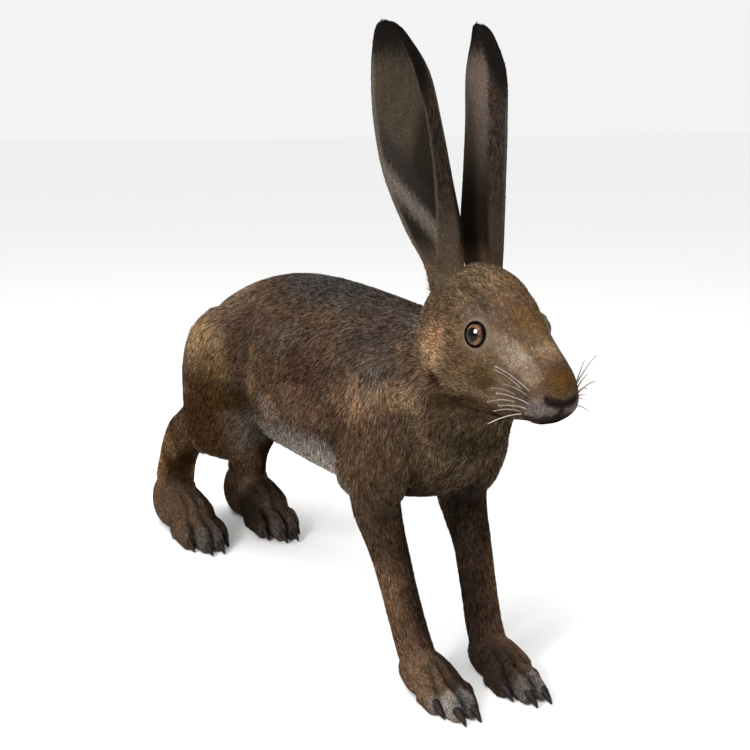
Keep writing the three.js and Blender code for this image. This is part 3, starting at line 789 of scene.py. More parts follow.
# Markings of the coat, each over the ones before: colour, middle in millimetres on the left side, three radii
# some markings are painted shade or a painted highlight, as said above each
markings = [
    ("rump", (0.118, 0.081, 0.053), (-392, 0, 236), (74, 62, 42)),
    ("flankUpper", (0.063, 0.041, 0.028), (-260, 46, 220), (90, 22, 18)),
    ("saddle", (0.04, 0.036, 0.033), (-215, 0, 264), (150, 48, 30)),
    ("saddleFront", (0.047, 0.035, 0.028), (-130, 0, 260), (64, 40, 24)),
    ("nape", (0.062, 0.05, 0.04), (-98, 18, 251), (26, 26, 20)),
    ("goldRump", (0.191, 0.125, 0.067), (-376, 60, 198), (48, 40, 24)),
    ("goldHaunch", (0.095, 0.056, 0.025), (-352, 60, 180), (46, 36, 18)),
    ("haunchEdge", (0.15, 0.097, 0.047), (-293, 58, 180), (9, 14, 36)),
    ("oliveHaunch", (0.03, 0.017, 0.006), (-345, 60, 156), (64, 32, 22)),
    ("redFlank", (0.069, 0.042, 0.025), (-262, 54, 190), (36, 26, 22)),
    ("flankMid", (0.047, 0.028, 0.018), (-205, 52, 198), (40, 26, 18)),
    ("flankLow", (0.086, 0.05, 0.03), (-203, 52, 172), (70, 26, 16)),
    ("belly", (0.193, 0.171, 0.147), (-240, 12, 126), (150, 76, 28)),
    ("bellyUnder", (0.42, 0.38, 0.33), (-240, 0, 106), (130, 40, 16)),
    ("bellyFront", (0.225, 0.188, 0.163), (-183, 36, 134), (40, 38, 20)),
    ("bellyRear", (0.15, 0.108, 0.082), (-268, 50, 159), (20, 22, 13)),
    ("darkThigh", (0.03, 0.015, 0.006), (-372, 52, 122), (84, 64, 36)),
    ("shoulderGrey", (0.051, 0.037, 0.029), (-128, 34, 236), (42, 32, 16)),
    ("shoulderMid", (0.063, 0.048, 0.038), (-113, 48, 216), (38, 28, 16)),
    ("shoulderRed", (0.163, 0.097, 0.057), (-127, 54, 192), (34, 24, 22)),
    ("armRear", (0.055, 0.036, 0.024), (-160, 50, 156), (7, 30, 32)),
    ("armLow", (0.06, 0.036, 0.021), (-105, 58, 158), (48, 24, 30)),
    ("chest", (0.071, 0.048, 0.028), (-50, 20, 165), (46, 52, 36)),
    ("chestFront", (0.026, 0.019, 0.011), (-26, 6, 184), (32, 36, 30)),
    ("throat", (0.16, 0.102, 0.06), (-78, 36, 203), (26, 34, 12)),
    # painted shade under the jaw
    ("underJaw", (0.02, 0.014, 0.009), (-24, 22, 199), (36, 40, 11)),
    ("foreleg", (0.038, 0.023, 0.013), (-92, 44, 98), (64, 22, 52)),
    ("forelegLow", (0.093, 0.055, 0.032), (-76, 42, 58), (52, 18, 34)),
    # painted shade on the inner side of the foreleg
    ("forelegInnerShade", (0.019, 0.012, 0.008), (-78, 12, 76), (80, 27, 90)),
    ("paw", (0.103, 0.06, 0.036), (-46, 38, 22), (38, 22, 20)),
    # painted shade on the inner side of the forepaw
    ("pawInnerShade", (0.03, 0.02, 0.014), (-40, 14, 18), (40, 20, 26)),
    ("toesFore", (0.189, 0.158, 0.14), (-12, 37, 9), (20, 18, 12)),
    # painted shade on the inner toes of the forepaw
    ("toesInnerShade", (0.091, 0.085, 0.081), (-10, 20, 9), (18, 16, 10)),
    ("shankOuter", (0.015, 0.006, 0.001), (-466, 46, 78), (46, 26, 46)),
    ("shankTop", (0.053, 0.03, 0.014), (-447, 52, 97), (20, 20, 20)),
    ("hock", (0.1, 0.057, 0.028), (-474, 46, 90), (15, 24, 18)),
    ("shankRear", (0.165, 0.091, 0.044), (-512, 44, 84), (30, 32, 60)),
    ("hindFoot", (0.068, 0.041, 0.026), (-468, 50, 30), (50, 26, 20)),
    # painted shade on the inner side of the hind leg
    ("hindInnerShade", (0.019, 0.012, 0.008), (-455, 14, 34), (76, 16, 50)),
    ("instepInner", (0.08, 0.05, 0.028), (-502, 29, 24), (24, 15, 16)),
    ("shankInner", (0.128, 0.074, 0.042), (-484, 20, 62), (32, 18, 34)),
    ("tailSides", (0.46, 0.42, 0.38), (-474, 0, 166), (24, 26, 36)),
    ("tailTop", (0.014, 0.012, 0.011), (-492, 0, 178), (26, 9, 44)),
    ("hockInner", (0.1, 0.085, 0.075), (-448, 18, 92), (40, 18, 24)),
    ("toesHind", (0.069, 0.057, 0.049), (-410, 44, 11), (24, 36, 14)),
    ("head", (0.106, 0.068, 0.038), (-20, 0, 245), (76, 60, 66)),
    ("cheekMid", (0.087, 0.055, 0.029), (-30, 34, 228), (26, 18, 16)),
    ("goldCheek", (0.227, 0.144, 0.079), (-46, 36, 242), (15, 16, 20)),
    ("jawRear", (0.03, 0.017, 0.009), (-46, 36, 219), (8, 14, 7)),
    ("crown", (0.1, 0.069, 0.039), (-32, 20, 282), (26, 24, 13)),
    ("earBase", (0.05, 0.034, 0.022), (-64, 18, 291), (16, 14, 14)),
    # partly the forehead's own colour, partly a painted highlight that makes it lighter
    ("foreheadAndHighlight", (0.113, 0.072, 0.04), (-8, 4, 282), (22, 16, 14)),
    ("brow", (0.096, 0.067, 0.045), (-11, 25, 268), (17, 16, 9)),
    ("bridge", (0.103, 0.057, 0.022), (16, 0, 262), (26, 12, 12)),
    ("bridgeLow", (0.196, 0.126, 0.072), (33, 0, 249), (12, 11, 9)),
    ("cheekFront", (0.054, 0.034, 0.013), (-1, 27, 226), (11, 12, 10)),
    ("jaw", (0.033, 0.018, 0.009), (-22, 25, 207), (38, 22, 9)),
    # painted shade under the jaw
    ("underJawRear", (0.008, 0.006, 0.004), (-4, 16, 197), (22, 22, 9)),
    ("stripeTop", (0.171, 0.128, 0.09), (5, 21, 252), (8, 7, 6)),
    ("stripe", (0.187, 0.14, 0.097), (14, 18.5, 247), (11, 8, 8)),
    ("stripeLow", (0.237, 0.18, 0.131), (24, 16.5, 240), (12, 9, 8)),
    ("stripeEnd", (0.172, 0.124, 0.086), (33, 15, 233), (10, 8, 8)),
    ("pad", (0.055, 0.039, 0.025), (29, 20, 221), (14, 10, 8)),
    ("nose", (0.084, 0.041, 0.011), (48, 0, 231), (11, 13, 11)),
    ("lip", (0.112, 0.091, 0.082), (42, 12, 214), (13, 12, 8)),
    # painted shade round the nostrils under the nose
    ("nostrilShade", (0.02, 0.013, 0.009), (46.5, 6.5, 218.6), (5, 7, 2.6)),
    # painted shade under the chin
    ("shadeUnderChin", (0.001, 0.001, 0.001), (36, 0, 203), (24, 20, 9.5)),
]
coat = {
    "under": (0.068, 0.044, 0.029),
    "skin": (0.02, 0.015, 0.012),
    "eyeRing": (0.2, 0.158, 0.118),
    "eyeRim": (0.002, 0.0015, 0.001),
    # painted shade in the grooves of the nostrils, the cleft and the mouth
    "grooves": (0.014, 0.01, 0.008),
    "mottle": 0.18,
    "grain": 0.34,
    "roughness": 0.85,
    "tick": 2.18,
    "dark": 0.28,
    # how much the painted shade in creases and hollows darkens the colour
    "creaseShade": 0.72,
    "stray": 0.3,
    "swirl": 0.16,
    "waves": [(0.16, 0.21, 0.12), (-0.11, 0.07, 0.23), (0.27, -0.05, -0.19)],
}


def hareColour(start, place):
    # the markings one over the other with edges made ragged by noise, then fine, ochre and wide spots; also
    # gives the place folded to the left side
    x, y, z = place.axes()
    folded = place.add("ShaderNodeCombineXYZ", inputs={0: x, 1: abs(y), 2: z})
    ragged = place.noise(0.05, 3.0, 0.6)
    colour = start.shade(coat["under"])
    for name, tone, middle, radii in markings:
        far = folded.vector("SUBTRACT", middle).vector("DIVIDE", radii).vector("LENGTH", output=1)
        colour = colour.mixed((far + (ragged - 0.5) * 0.9).step(1.25, 0.35), tone)
    fine = place.noise(0.22, 2.0, 0.7)
    ochre = place.vector("ADD", (300, 50, 20)).noise(0.09)
    wide = place.vector("ADD", (90, 0, 70)).noise(0.03, 3.0)
    tint = fine.step(0.36, 0.66, 1 + coat["mottle"], 1 - coat["mottle"]) * wide.step(0.35, 0.65, 1.14, 0.86)
    red = tint * ochre.step(0.5, 0.7, 1, 1.2) * wide.step(0.35, 0.65, 0.95, 1.05)
    return colour.tinted(red, tint * ochre.step(0.5, 0.7, 1, 1.12), tint), folded


earTones = {
    # painted shade at the foot of the ear's back
    "backFootShade": (0.004, 0.0025, 0.001),
    "back": (0.1, 0.074, 0.057),
    "strip": (0.011, 0.008, 0.006),
    "stripSpots": (0.055, 0.04, 0.03),
    "stripFoot": (0.075, 0.05, 0.035),
    "frontEdge": (0.085, 0.07, 0.052),
    "cup": (0.041, 0.032, 0.0215),
    "cupStreaks": (0.026, 0.02, 0.015),
    # painted shade inside the cup, near its front edge
    "cupShade": (0.011, 0.0085, 0.006),
    # painted shade at the foot of the cup
    "cupFootShade": (0.005, 0.004, 0.003),
    "overBand": (0.017, 0.015, 0.0145),
    "band": (0.125, 0.104, 0.087),
    "rearEdge": (0.1, 0.08, 0.064),
    "tip": (0.0015, 0.0015, 0.0018),
}


def earColour(start, place, cup, across, onEar, colour):
    # Ears: black tips, a dark mottled front strip, grey-brown backs with painted shade at their foot, and a
    # cup with a pale slanting band of hair and painted shade at its front and foot. Steps are heights in
    # millimetres or shares of the way across from the front edge.
    height = place.axes()[2]
    streaks = place.vector("MULTIPLY", (1, 1, 0.2)).noise(0.3, 3.0)
    mottle = place.vector("MULTIPLY", (1, 1, 0.35)).noise(0.5, 4.0, 0.7)
    uneven = mottle - 0.5
    # the back is darkened by painted shade at its foot and grey-brown higher up
    back = start.shade(earTones["backFootShade"]).mixed(height.step(326, 408), earTones["back"])
    strip = start.shade(earTones["strip"]).mixed(mottle.step(0.38, 0.68, 0, 0.8), earTones["stripSpots"])
    strip = strip.mixed(height.step(345, 300, 0, 0.7), earTones["stripFoot"])
    outside = strip.mixed((across + uneven * 0.12).step(0.2, 0.28), back)
    frontEdge = across.step(0.05, 0.01, 0, 0.6) * height.step(410, 385)
    outside = outside.mixed(frontEdge, earTones["frontEdge"])
    inside = start.shade(earTones["cup"]).mixed(streaks.step(0.42, 0.62, 0, 0.5), earTones["cupStreaks"])
    # painted shade inside the cup near the front edge, reaching further across lower down
    cupShade = (across - height.step(450, 330, 0, 0.5)).step(0.34, 0.22)
    inside = inside.mixed(cupShade, earTones["cupShade"])
    # painted shade at the foot of the cup, from about 372 millimetres down
    inside = inside.mixed(height.step(372, 340, 0, 0.95), earTones["cupFootShade"])
    band = height + across * -134 + uneven * 24 - 214  # millimetres over the band's middle line
    overBand = abs(band - 28).step(22, 4) * across.step(0.5, 0.85, 0, 0.75)
    inside = inside.mixed(overBand, earTones["overBand"])
    strokes = start.add("ShaderNodeCombineXYZ", inputs={0: band * 0.35, 1: across * 6}).noise(1.0, 3.0)
    inside = inside.mixed(abs(band).step(21, 1) * strokes.step(0.35, 0.65, 0.6, 1), earTones["band"])
    inside = inside.mixed(across.step(0.94, 0.99, 0, 0.8), earTones["rearEdge"])
    black = height + (0.33 - across).step(0, 0.3, 0, 26) * (1 - cup) + uneven * 30
    ear = outside.mixed(cup, inside).mixed(black.step(412, 434), earTones["tip"])
    grain = place.noise(0.7, 2.0, 0.8).step(0.3, 0.7, 1 + coat["grain"], 1 - coat["grain"])
    return colour.mixed(height.step(286, 308) * onEar, ear).tinted(grain, grain, grain)


def makeMaterial(name, paint):
    # a material whose shader gets the inputs that paint gives
    material = bpy.data.materials.new(name)
    material.use_nodes = True
    tree = material.node_tree
    tree.nodes.clear()
    start = Wire(tree)
    shader = start.add("ShaderNodeBsdfPrincipled", inputs=paint(start))
    start.add("ShaderNodeOutputMaterial", inputs={0: shader})
    return material


def markedColour(start):
    # the colour that skin and tufts share, with the attributes of the coat, the distance to the eye, and
    # painted shade in creases
    place = start.add("ShaderNodeTexCoord", output=3).vector("SUBTRACT", (originShift, 0, 0)).vector("SCALE")
    place.socket.node.inputs["Scale"].default_value = 1000
    tone = start.add("ShaderNodeAttribute", {"attribute_name": "furTone"})
    earPlace = start.add("ShaderNodeAttribute", {"attribute_name": "earPlace"})
    colour, folded = hareColour(start, place)
    colour = earColour(start, place, *earPlace.channels(), colour)
    toEye = folded.vector("DISTANCE", tuple(eyeSpot), output=1)
    colour = colour.mixed(toEye.step(12.2, 9.2, 0, 0.55), coat["eyeRing"])
    # painted shade: the colour is darker where the skin lies in a crease or hollow
    deep = 1 - tone.outputs()[3] * coat["creaseShade"]
    return colour.tinted(deep, deep, deep), tone, toEye, place, folded


def furInputs(start):
    # tufts are darker at the root, and differ from each other in brightness and warmth
    colour, tone, _, _, _ = markedColour(start)
    along, chance, hue = tone.channels()
    pale = chance * chance
    shade = along.step(0, 0.75, 0.6, 1.1) * (coat["dark"] + pale * coat["tick"])
    warm = 1 + (hue - 0.5) * 0.14
    colour = colour.tinted(shade * (1.04 - pale * 0.08) * warm, shade, shade * (0.86 + pale * 0.3))
    return {"Base Color": colour, "Roughness": coat["roughness"], "Specular IOR Level": 0.0}


def skinInputs(start):
    # the skin is darker than the coat, with a bare rim at the eye, painted shade along the nostrils, cleft
    # and mouth, and fine hairs
    colour, _, toEye, place, folded = markedColour(start)
    colour = colour.mixed(0.3, coat["skin"]).mixed(toEye.step(8.9, 8.0), coat["eyeRim"])
    # painted shade along the lines of the nostrils, the cleft and the mouth
    for name, low in (("nostril", 3.0), ("cleft", 1.5), ("mouth", 1.6)):
        for first, second in zip(face[name][:-1], face[name][1:]):
            middle = (np.array(first) + second) / 2
            reach = np.linalg.norm(np.array(second) - first) / 2
            far = folded.vector("DISTANCE", tuple(middle), output=1)
            colour = colour.mixed((far - reach * 0.8).step(low, 0.4, 0, 0.85), coat["grooves"])
    hairs = place.vector("MULTIPLY", (0.25, 1, 1)).noise(1.6)
    normal = start.add("ShaderNodeBump", inputs={"Strength": 0.35, "Distance": 0.0005, "Height": hairs})
    return {
        "Base Color": colour, "Roughness": coat["roughness"], "Specular IOR Level": 0.0, "Normal": normal,
    }


skin.data.materials.clear()
skin.data.materials.append(makeMaterial("hareSkin", skinInputs))
furMaterial = makeMaterial("hareFur", furInputs)


def markPoints(mesh, tones, places):
    # furTone holds the place along the tuft, chance, hue and how deep in a crease it lies, for painted shade;
    # earPlace whether in the cup, how far across the ear, and whether on an ear
    places = np.concatenate([places, np.ones((len(places), 1))], 1)
    for name, values in (("furTone", tones), ("earPlace", places)):
        writeAll(mesh.attributes.new(name, "FLOAT_COLOR", "POINT").data, "color", values)


def layCoat():
    # lie, length and thickness of the fur at each point of the skin, from the nearest lofted part, smoothed
    places, lies, furs, cups = [], [], [], []
    for form, rings in lofted:
        along = unit(np.gradient(rings, axis=0))[2:-2].reshape(-1, 3) * form["lie"]
        places.append(rings[2:-2].reshape(-1, 3))
        lies.append(unit(along + form.get("lean", (0, 0, 0))))
        furs.append(np.tile(form["fur"], (len(along), 1)))
        cups.append(np.zeros((len(along), 3)))
    for rings, earPlace in earParts:
        above = rings[:, 0, 2] > 276
        places.append(rings[above].reshape(-1, 3))
        lies.append(unit(np.gradient(rings, axis=0))[above].reshape(-1, 3))
        cups.append(np.tile(earPlace, (above.sum(), 1)))
        furs.append(np.where(cups[-1][:, :1] > 0, ears["cupFur"], ears["fur"]))
    places, lies, furs, cups = (np.concatenate(values) for values in (places, lies, furs, cups))
    tree = KDTree(len(places))
    for k, place in enumerate(places):
        tree.insert(place, k)
    tree.balance()
    points, edges = fromFrame(readPoints(skin.data)), readEdges(skin.data)
    nearest = np.array([tree.find(point)[1] for point in points])
    lie, fur, cup = lies[nearest], blur(furs[nearest], edges, 12, 0.6), cups[nearest]
    for _ in range(40):
        lie = unit(blur(lie, edges, 1, 0.6))
    # how far each point lies under a blurred copy of the skin: painted shade for creases and hollows
    sunk = np.sum((blur(points, edges, 10) - points) * readNormals(skin.data), axis=1)
    creaseShade = smoothStep(0.08, 1.0, sunk) * (1 - cup[:, 2])
    return points, lie, fur, cup, blur(creaseShade[:, None], edges, 2)[:, 0]


points, lie, fur, cup, creaseShade = layCoat()
markPoints(skin.data, np.stack([*np.tile([[1], [0.5], [0.5]], len(points)), creaseShade], 1), cup)
print("coat laid")


tuft = {
    "shorter": 0.62,  # shares towards the nose
    "thinner": 0.3,
    "denser": 0.5,
    "calmEars": 0.6,  # share of the stray that the ears don't have
    "size": (0.7, 1.3),  # from the least to the largest share of its length and width
    "rise": (0.6, 1.4),  # the same for its lift
    "sunk": 0.3,  # millimetres of the root in the skin
    "bend": 0.06,
    "ridge": 0.35,  # place along the tuft
    "soft": 0.22,  # spread of the normals
    "most": 48000,  # tufts in a piece
}


def growCoat(points, lie, fur, cup, creaseShade):
    # roots strewn over the skin by area and density, with what the skin says at each
    mesh = skin.data
    mesh.calc_loop_triangles()
    corners = readAll(mesh.loop_triangles, "vertices", 3, np.int32)
    a, b, c = (points[corners[:, k]] for k in range(3))
    area = 0.5 * np.linalg.norm(np.cross(b - a, c - a), axis=1)
    folded = fold(points)
    x, z = folded[:, 0], folded[:, 2]
    onHead = (x > -95) & (z > 195) & (z < 300)
    muzzle = smoothStep(-50, 44, x) * onHead
    length = fur[:, 0] * (1 - tuft["shorter"] * muzzle)
    width = fur[:, 1] * (1 - tuft["thinner"] * muzzle)
    density = fur[:, 3] * (1 + tuft["denser"] * muzzle)
    toEye = np.linalg.norm(folded - eyeSpot, axis=1)
    density = density * smoothStep(8.0, 9.2, toEye)
    length = length * (0.4 + 0.6 * smoothStep(8, 20, toEye))
    for name, reach in face["fewerHairs"].items():
        distance, _ = distanceTo(folded, face[name])
        density = density * smoothStep(reach * 0.8, reach * 1.5, distance)
    density = density * smoothStep(0.3, 1.2, z)
    rate = area * density[corners].mean(1)
    count = int(rate.sum())
    total = np.cumsum(rate)
    chosen = np.searchsorted(total, (np.arange(count) + rng.random(count)) * total[-1] / count)
    chosen = np.minimum(chosen, len(corners) - 1)
    weights = rng.random((count, 2))
    weights = np.where(weights.sum(1, keepdims=True) > 1, 1 - weights, weights)
    weights = np.concatenate([1 - weights.sum(1, keepdims=True), weights], 1)

    def at(values):
        return np.einsum("ij,ij...->i...", weights, values[corners[chosen]])

    normal = unit(at(readNormals(mesh)))
    direction = at(lie)
    direction = direction - np.sum(direction * normal, axis=1, keepdims=True) * normal
    # where the lie runs into the skin, the direction has little length left, and the tufts are short and low
    calm = 0.4 + 0.6 * smoothStep(0.15, 0.6, np.linalg.norm(direction, axis=1))
    return {
        "root": at(points), "normal": normal, "lie": unit(direction), "length": at(length) * calm,
        "width": at(width), "lift": at(fur[:, 2]) * calm, "cup": at(cup), "creaseShade": at(creaseShade),
    }


def tuftMesh(name, tufts):
    # each tuft is a thin closed spike of four corners: left and right of the root, the ridge and the tip
    count = len(tufts["root"])
    across = unit(np.cross(tufts["normal"], tufts["lie"]))
    swirl = sum(np.sin(tufts["root"] @ wave + k) for k, wave in enumerate(coat["waves"]))
    calm = 1 - tuft["calmEars"] * tufts["cup"][:, 2]
    turn = calm * (rng.normal(0, coat["stray"], count) + coat["swirl"] * swirl)
    along = unit(tufts["lie"] + turn[:, None] * across)
    across = unit(np.cross(tufts["normal"], along))
    length = (tufts["length"] * rng.uniform(*tuft["size"], count))[:, None]
    half = 0.5 * (tufts["width"] * rng.uniform(*tuft["size"], count))[:, None]
    lift = (tufts["lift"] * rng.uniform(*tuft["rise"], count))[:, None]
    root = tufts["root"] - tuft["sunk"] * tufts["normal"]
    bend = rng.normal(0, tuft["bend"], count)[:, None]
    tip = root + length * (along + 0.8 * lift * tufts["normal"] + bend * across)
    over = 0.15 * lift * length + 0.7 * half
    ridge = root + tuft["ridge"] * (tip - root) + over * tufts["normal"]
    spikes = np.stack([root - half * across, root + half * across, ridge, tip], 1)
    sides = np.array([[0, 1, 3], [0, 2, 1], [0, 3, 2], [1, 2, 3]])
    triangles = (4 * np.arange(count)[:, None, None] + sides).reshape(-1, 3)
    mesh = makeMesh(name, toFrame(spikes.reshape(-1, 3)), triangles)
    chance, hue = rng.random((2, count))
    rest = np.repeat([chance, hue, tufts["creaseShade"]], 4, axis=1)
    tones = np.stack([np.tile([0, 0, 0.4, 1], count), *rest], 1)
    markPoints(mesh, tones, np.repeat(tufts["cup"], 4, axis=0))
    soft = tufts["normal"] + rng.normal(0, tuft["soft"], (count, 3))
    soft = soft[:, None] + np.stack([-0.5 * across, 0.5 * across, 0 * across, 0.2 * along], 1)
    mesh.normals_split_custom_set_from_vertices(unit(soft.reshape(-1, 3)).tolist())
    return mesh


tufts = growCoat(points, lie, fur, cup, creaseShade)
print("tufts", len(tufts["root"]))


def coatPieces(tufts):
    # the coat by side, as ears, head, legs and trunk, each cut from rear to front where it has too many tufts
    x, y, z = tufts["root"].T
    onEar = z > 297
    onHead = ~onEar & (x > -84) & (z > 196)
    onLeg = ~onHead & (z < 108)
    regions = {"coatEar": onEar, "coatHead": onHead, "coatLeg": onLeg, "coatTrunk": ~(onEar | onHead | onLeg)}
    pieces = []
    for name, where in regions.items():
        for side, chosen in (("Right", where & (y < 0)), ("Left", where & (y >= 0))):
            order = np.flatnonzero(chosen)
            order = order[np.argsort(x[order])]
            parts = int(np.ceil(len(order) / tuft["most"]))
            for k, part in enumerate(np.array_split(order, parts)):
                pieces.append((f"{name}{side}{k + 1}", {key: values[part] for key, values in tufts.items()}))
    return pieces


unwrapSettings = {"keep": 0.09, "angle": 1.15, "margin": 0.004, "patch": 0.0015, "edge": 0.002}
unwrapBase = addPiece("unwrapBase", skin.data.copy())
unwrapBase.data.materials.clear()
modified(unwrapBase, "TRIANGULATE")
modified(unwrapBase, "DECIMATE", ratio=unwrapSettings["keep"])
basePoints = fromFrame(readPoints(unwrapBase.data))
baseCorners = readCorners(unwrapBase.data).reshape(-1, 3)
baseTree = BVHTree.FromPolygons(basePoints.tolist(), baseCorners.tolist())
bpy.data.objects.remove(unwrapBase)


def writeMap(mesh, name, places):
    # a map from one place for each point
    writeAll(mesh.uv_layers.new(name=name).data, "uv", places[readCorners(mesh)])


def unwrapRoots(tufts, mesh):
    # each tuft gets a small patch at its root's place on an unwrap of that region of the skin
    faces = np.array([baseTree.find_nearest(root)[2] for root in tufts["root"].tolist()])
    used, index = np.unique(faces, return_inverse=True)
    region = addPiece("region", makeMesh("region", basePoints, baseCorners[used]))
    bpy.context.view_layer.objects.active = region
    region.select_set(True)
    region.data.uv_layers.new(name="OFBake")
    bpy.ops.object.mode_set(mode="EDIT")
    bpy.ops.mesh.select_all(action="SELECT")
    bpy.ops.uv.smart_project(angle_limit=unwrapSettings["angle"], island_margin=unwrapSettings["margin"])
    bpy.ops.object.mode_set(mode="OBJECT")
    unwrapped = readAll(region.data.uv_layers["OFBake"].data, "uv", 2)
    unwrapped = unwrapped.reshape(-1, 3, 2)[index].astype(float)
    bpy.data.objects.remove(region)
    # the root's shares of its face's three corners, from dot products of two sides and the way to the root
    a, b, c = (basePoints[baseCorners[faces][:, k]] for k in range(3))
    across, down, to = b - a, c - a, tufts["root"] - a
    d00, d01, d11 = (np.sum(p * q, axis=1) for p, q in ((across, across), (across, down), (down, down)))
    d20, d21 = np.sum(to * across, axis=1), np.sum(to * down, axis=1)
    scale = np.maximum(d00 * d11 - d01 * d01, 1e-9)
    share = np.stack([(d11 * d20 - d01 * d21) / scale, (d00 * d21 - d01 * d20) / scale], 1)
    share = np.clip(share, 0, 1)
    share = np.concatenate([np.clip(1 - share.sum(1, keepdims=True), 0, 1), share], 1)
    share /= share.sum(1, keepdims=True)
    edge = unwrapSettings["edge"]
    place = np.clip(np.einsum("ij,ijk->ik", share, unwrapped), edge, 1 - edge)
    patch = np.array([(-1, -1), (1, -1), (0, -0.2), (0, 1)]) * unwrapSettings["patch"]
    writeMap(mesh, "OFBake", (place[:, None] + patch).reshape(-1, 2))


for name, part in coatPieces(tufts):
    mesh = tuftMesh(name, part)
    unwrapRoots(part, mesh)
    mesh.materials.append(furMaterial)
    piece = addPiece(name, mesh)
    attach(piece, "root")
    print(name, len(mesh.polygons))

eyeLook = {
    "gaze": (76, 4),  # degrees round and up
    "pupil": 0.5,  # angles from the gaze, in radians
    "iris": 0.8,
    "bulge": 0.35,  # over a ball this much smaller than the eyeball
    "smaller": 0.15,
    "bulgeWide": 0.62,
    "rows": 60,
    "around": 72,
}


def irisColour(start):
    # rings round the pupil from the eye's own map: V is the angle from the gaze in radians over two
    uv = start.add("ShaderNodeUVMap", {"uv_map": "gaze"})
    angle = uv.axes()[1] * 2
    rays = uv.vector("MULTIPLY", (40, 2, 0)).noise(1.0, 3.0, dimensions="2D")
    iris = start.shade((0.045, 0.019, 0.009)).mixed(rays.step(0.35, 0.7), (0.16, 0.066, 0.027))
    iris = iris.mixed(angle.step(eyeLook["pupil"] + 0.03, eyeLook["pupil"] - 0.03), (0.001, 0.001, 0.001))
    return iris.mixed(angle.step(eyeLook["iris"] - 0.1, eyeLook["iris"] + 0.02), (0.003, 0.002, 0.002))


def eyeInputs(start):
    return {
        "Base Color": irisColour(start), "Roughness": 0.3, "Specular IOR Level": 0.0,
        "Coat Weight": 1.0, "Coat Roughness": 0.02, "Coat IOR": 1.2,
    }


def buildEyes():
    # a ball turned towards the gaze, with a slight bulge over pupil and iris
    rows, around = eyeLook["rows"], eyeLook["around"]
    angle = np.linspace(0.02, np.pi - 0.02, rows)[:, None]
    turn = (2 * np.pi * np.arange(around) / around)[None, :]
    bulge = eyeLook["bulge"] * np.exp(-((angle / eyeLook["bulgeWide"]) ** 4))
    radius = eyeBall["radius"] - eyeLook["smaller"] + bulge
    tubes = []
    for side in (-1, 1):
        gaze = aim(*eyeLook["gaze"]) * (1, side, 1)
        up = unit(np.array([0, 0, 1]) - gaze * gaze[2])
        right = np.cross(gaze, up)
        ring = np.cos(turn)[..., None] * right + np.sin(turn)[..., None] * up
        outwards = np.cos(angle)[..., None] * gaze + np.sin(angle)[..., None] * ring
        tubes.append(closedTube(np.array(eyeBall["at"]) * (1, side, 1) + radius[..., None] * outwards))
    uv = np.stack(np.broadcast_arrays(turn / (2 * np.pi), angle / 2), -1).reshape(-1, 2)
    uv = np.concatenate([uv, [[0.5, 0], [0.5, np.pi / 2]]])
    eyes = addTubes("eyes", tubes)
    writeMap(eyes.data, "gaze", np.concatenate([uv, uv]))
    eyes.data.materials.append(makeMaterial("wetEye", eyeInputs))
    return eyes


def hornInputs(start):
    grain = start.add("ShaderNodeTexCoord", output=3).vector("MULTIPLY", (200, 900, 900)).noise(1.0, 3.0)
    horn = start.shade((0.011, 0.008, 0.007)).mixed(grain.step(0.4, 0.75, 0, 0.6), (0.036, 0.027, 0.022))
    return {"Base Color": horn, "Roughness": 0.6, "Specular IOR Level": 0.02}


def buildClaws():
    tubes = []
    for side in (-1, 1):
        for foot in (forepaw, hindFoot):
            forms = [clawForm(foot, toe) for toe in foot["toes"]]
            tubes += [closedTube(loft(form, side, rows=24, around=18)[1:-1]) for form in forms]
    claws = addTubes("claws", tubes)
    claws.data.materials.append(makeMaterial("clawHorn", hornInputs))
    return claws


view = {  # the photograph's place of view, in millimetres, and degrees down and round from a look along +Y
    "lens": 64.8,
    "sensor": 36,
    "place": (672, -481.4, 385),
    "down": 10.9,
    "round": 60.5,
    "pixels": 750,
}
whiskers = {
    "right": [  # pixels of root and tip in the photograph, and how far out from the middle they are
        ((530, 392), (495, 366), 16.6, 34.2),
        ((521, 389), (495, 370), 17.8, 35.4),
        ((527, 396), (502, 384), 17.6, 35.2),
        ((515, 395), (489, 388), 18.6, 36.2),
        ((532, 406), (496, 393), 16.3, 33.9),
        ((514, 402), (487, 402), 17.9, 35.5),
        ((529, 410), (498, 406), 16.6, 34.2),
        ((521, 412), (494, 411), 15.6, 33.2),
        ((523, 414), (487, 424), 14, 31.6),
    ],
    "left": [
        ((575.4, 387), (584.6, 360.2), 15.5, 30),
        ((576, 385), (596.4, 355.2), 15.5, 38),
        ((576, 391), (587.4, 374.4), 15.5, 30),
        ((577, 394.5), (595.4, 381), 15.5, 37),
        ((577.5, 393), (587.4, 388.6), 15.5, 31),
        ((575.5, 399.5), (585.4, 394.6), 15.5, 30),
        ((575, 401.2), (582.6, 399.2), 15.5, 27),
        ((573.5, 406.4), (588.6, 411.2), 15.5, 33),
    ],
    "thick": {"right": 0.45, "left": 0.6},  # half, at the root
    "droop": 1.4,
    "sunk": 1.5,
    "taper": 0.55,
    "rows": 12,
    "around": 6,
}


def seen(pixel, across):
    # the place that lies on the line of sight through a pixel of the photograph, and so far to the left
    turn = np.array(Euler(np.radians((90 - view["down"], 0, view["round"]))).to_matrix())
    middle, scale = view["pixels"] / 2, view["pixels"] * view["lens"] / view["sensor"]
    way = turn @ ((pixel[0] - middle) / scale, (middle - pixel[1]) / scale, -1)
    return view["place"] + way * (across - view["place"][1]) / way[1]


def whiskerInputs(start):
    tint = start.add("ShaderNodeTexCoord", output=3).noise(90.0)
    hair = start.shade((0.17, 0.14, 0.115)).mixed(tint.step(0.4, 0.7), (0.28, 0.24, 0.2))
    return {"Base Color": hair, "Roughness": 0.45}


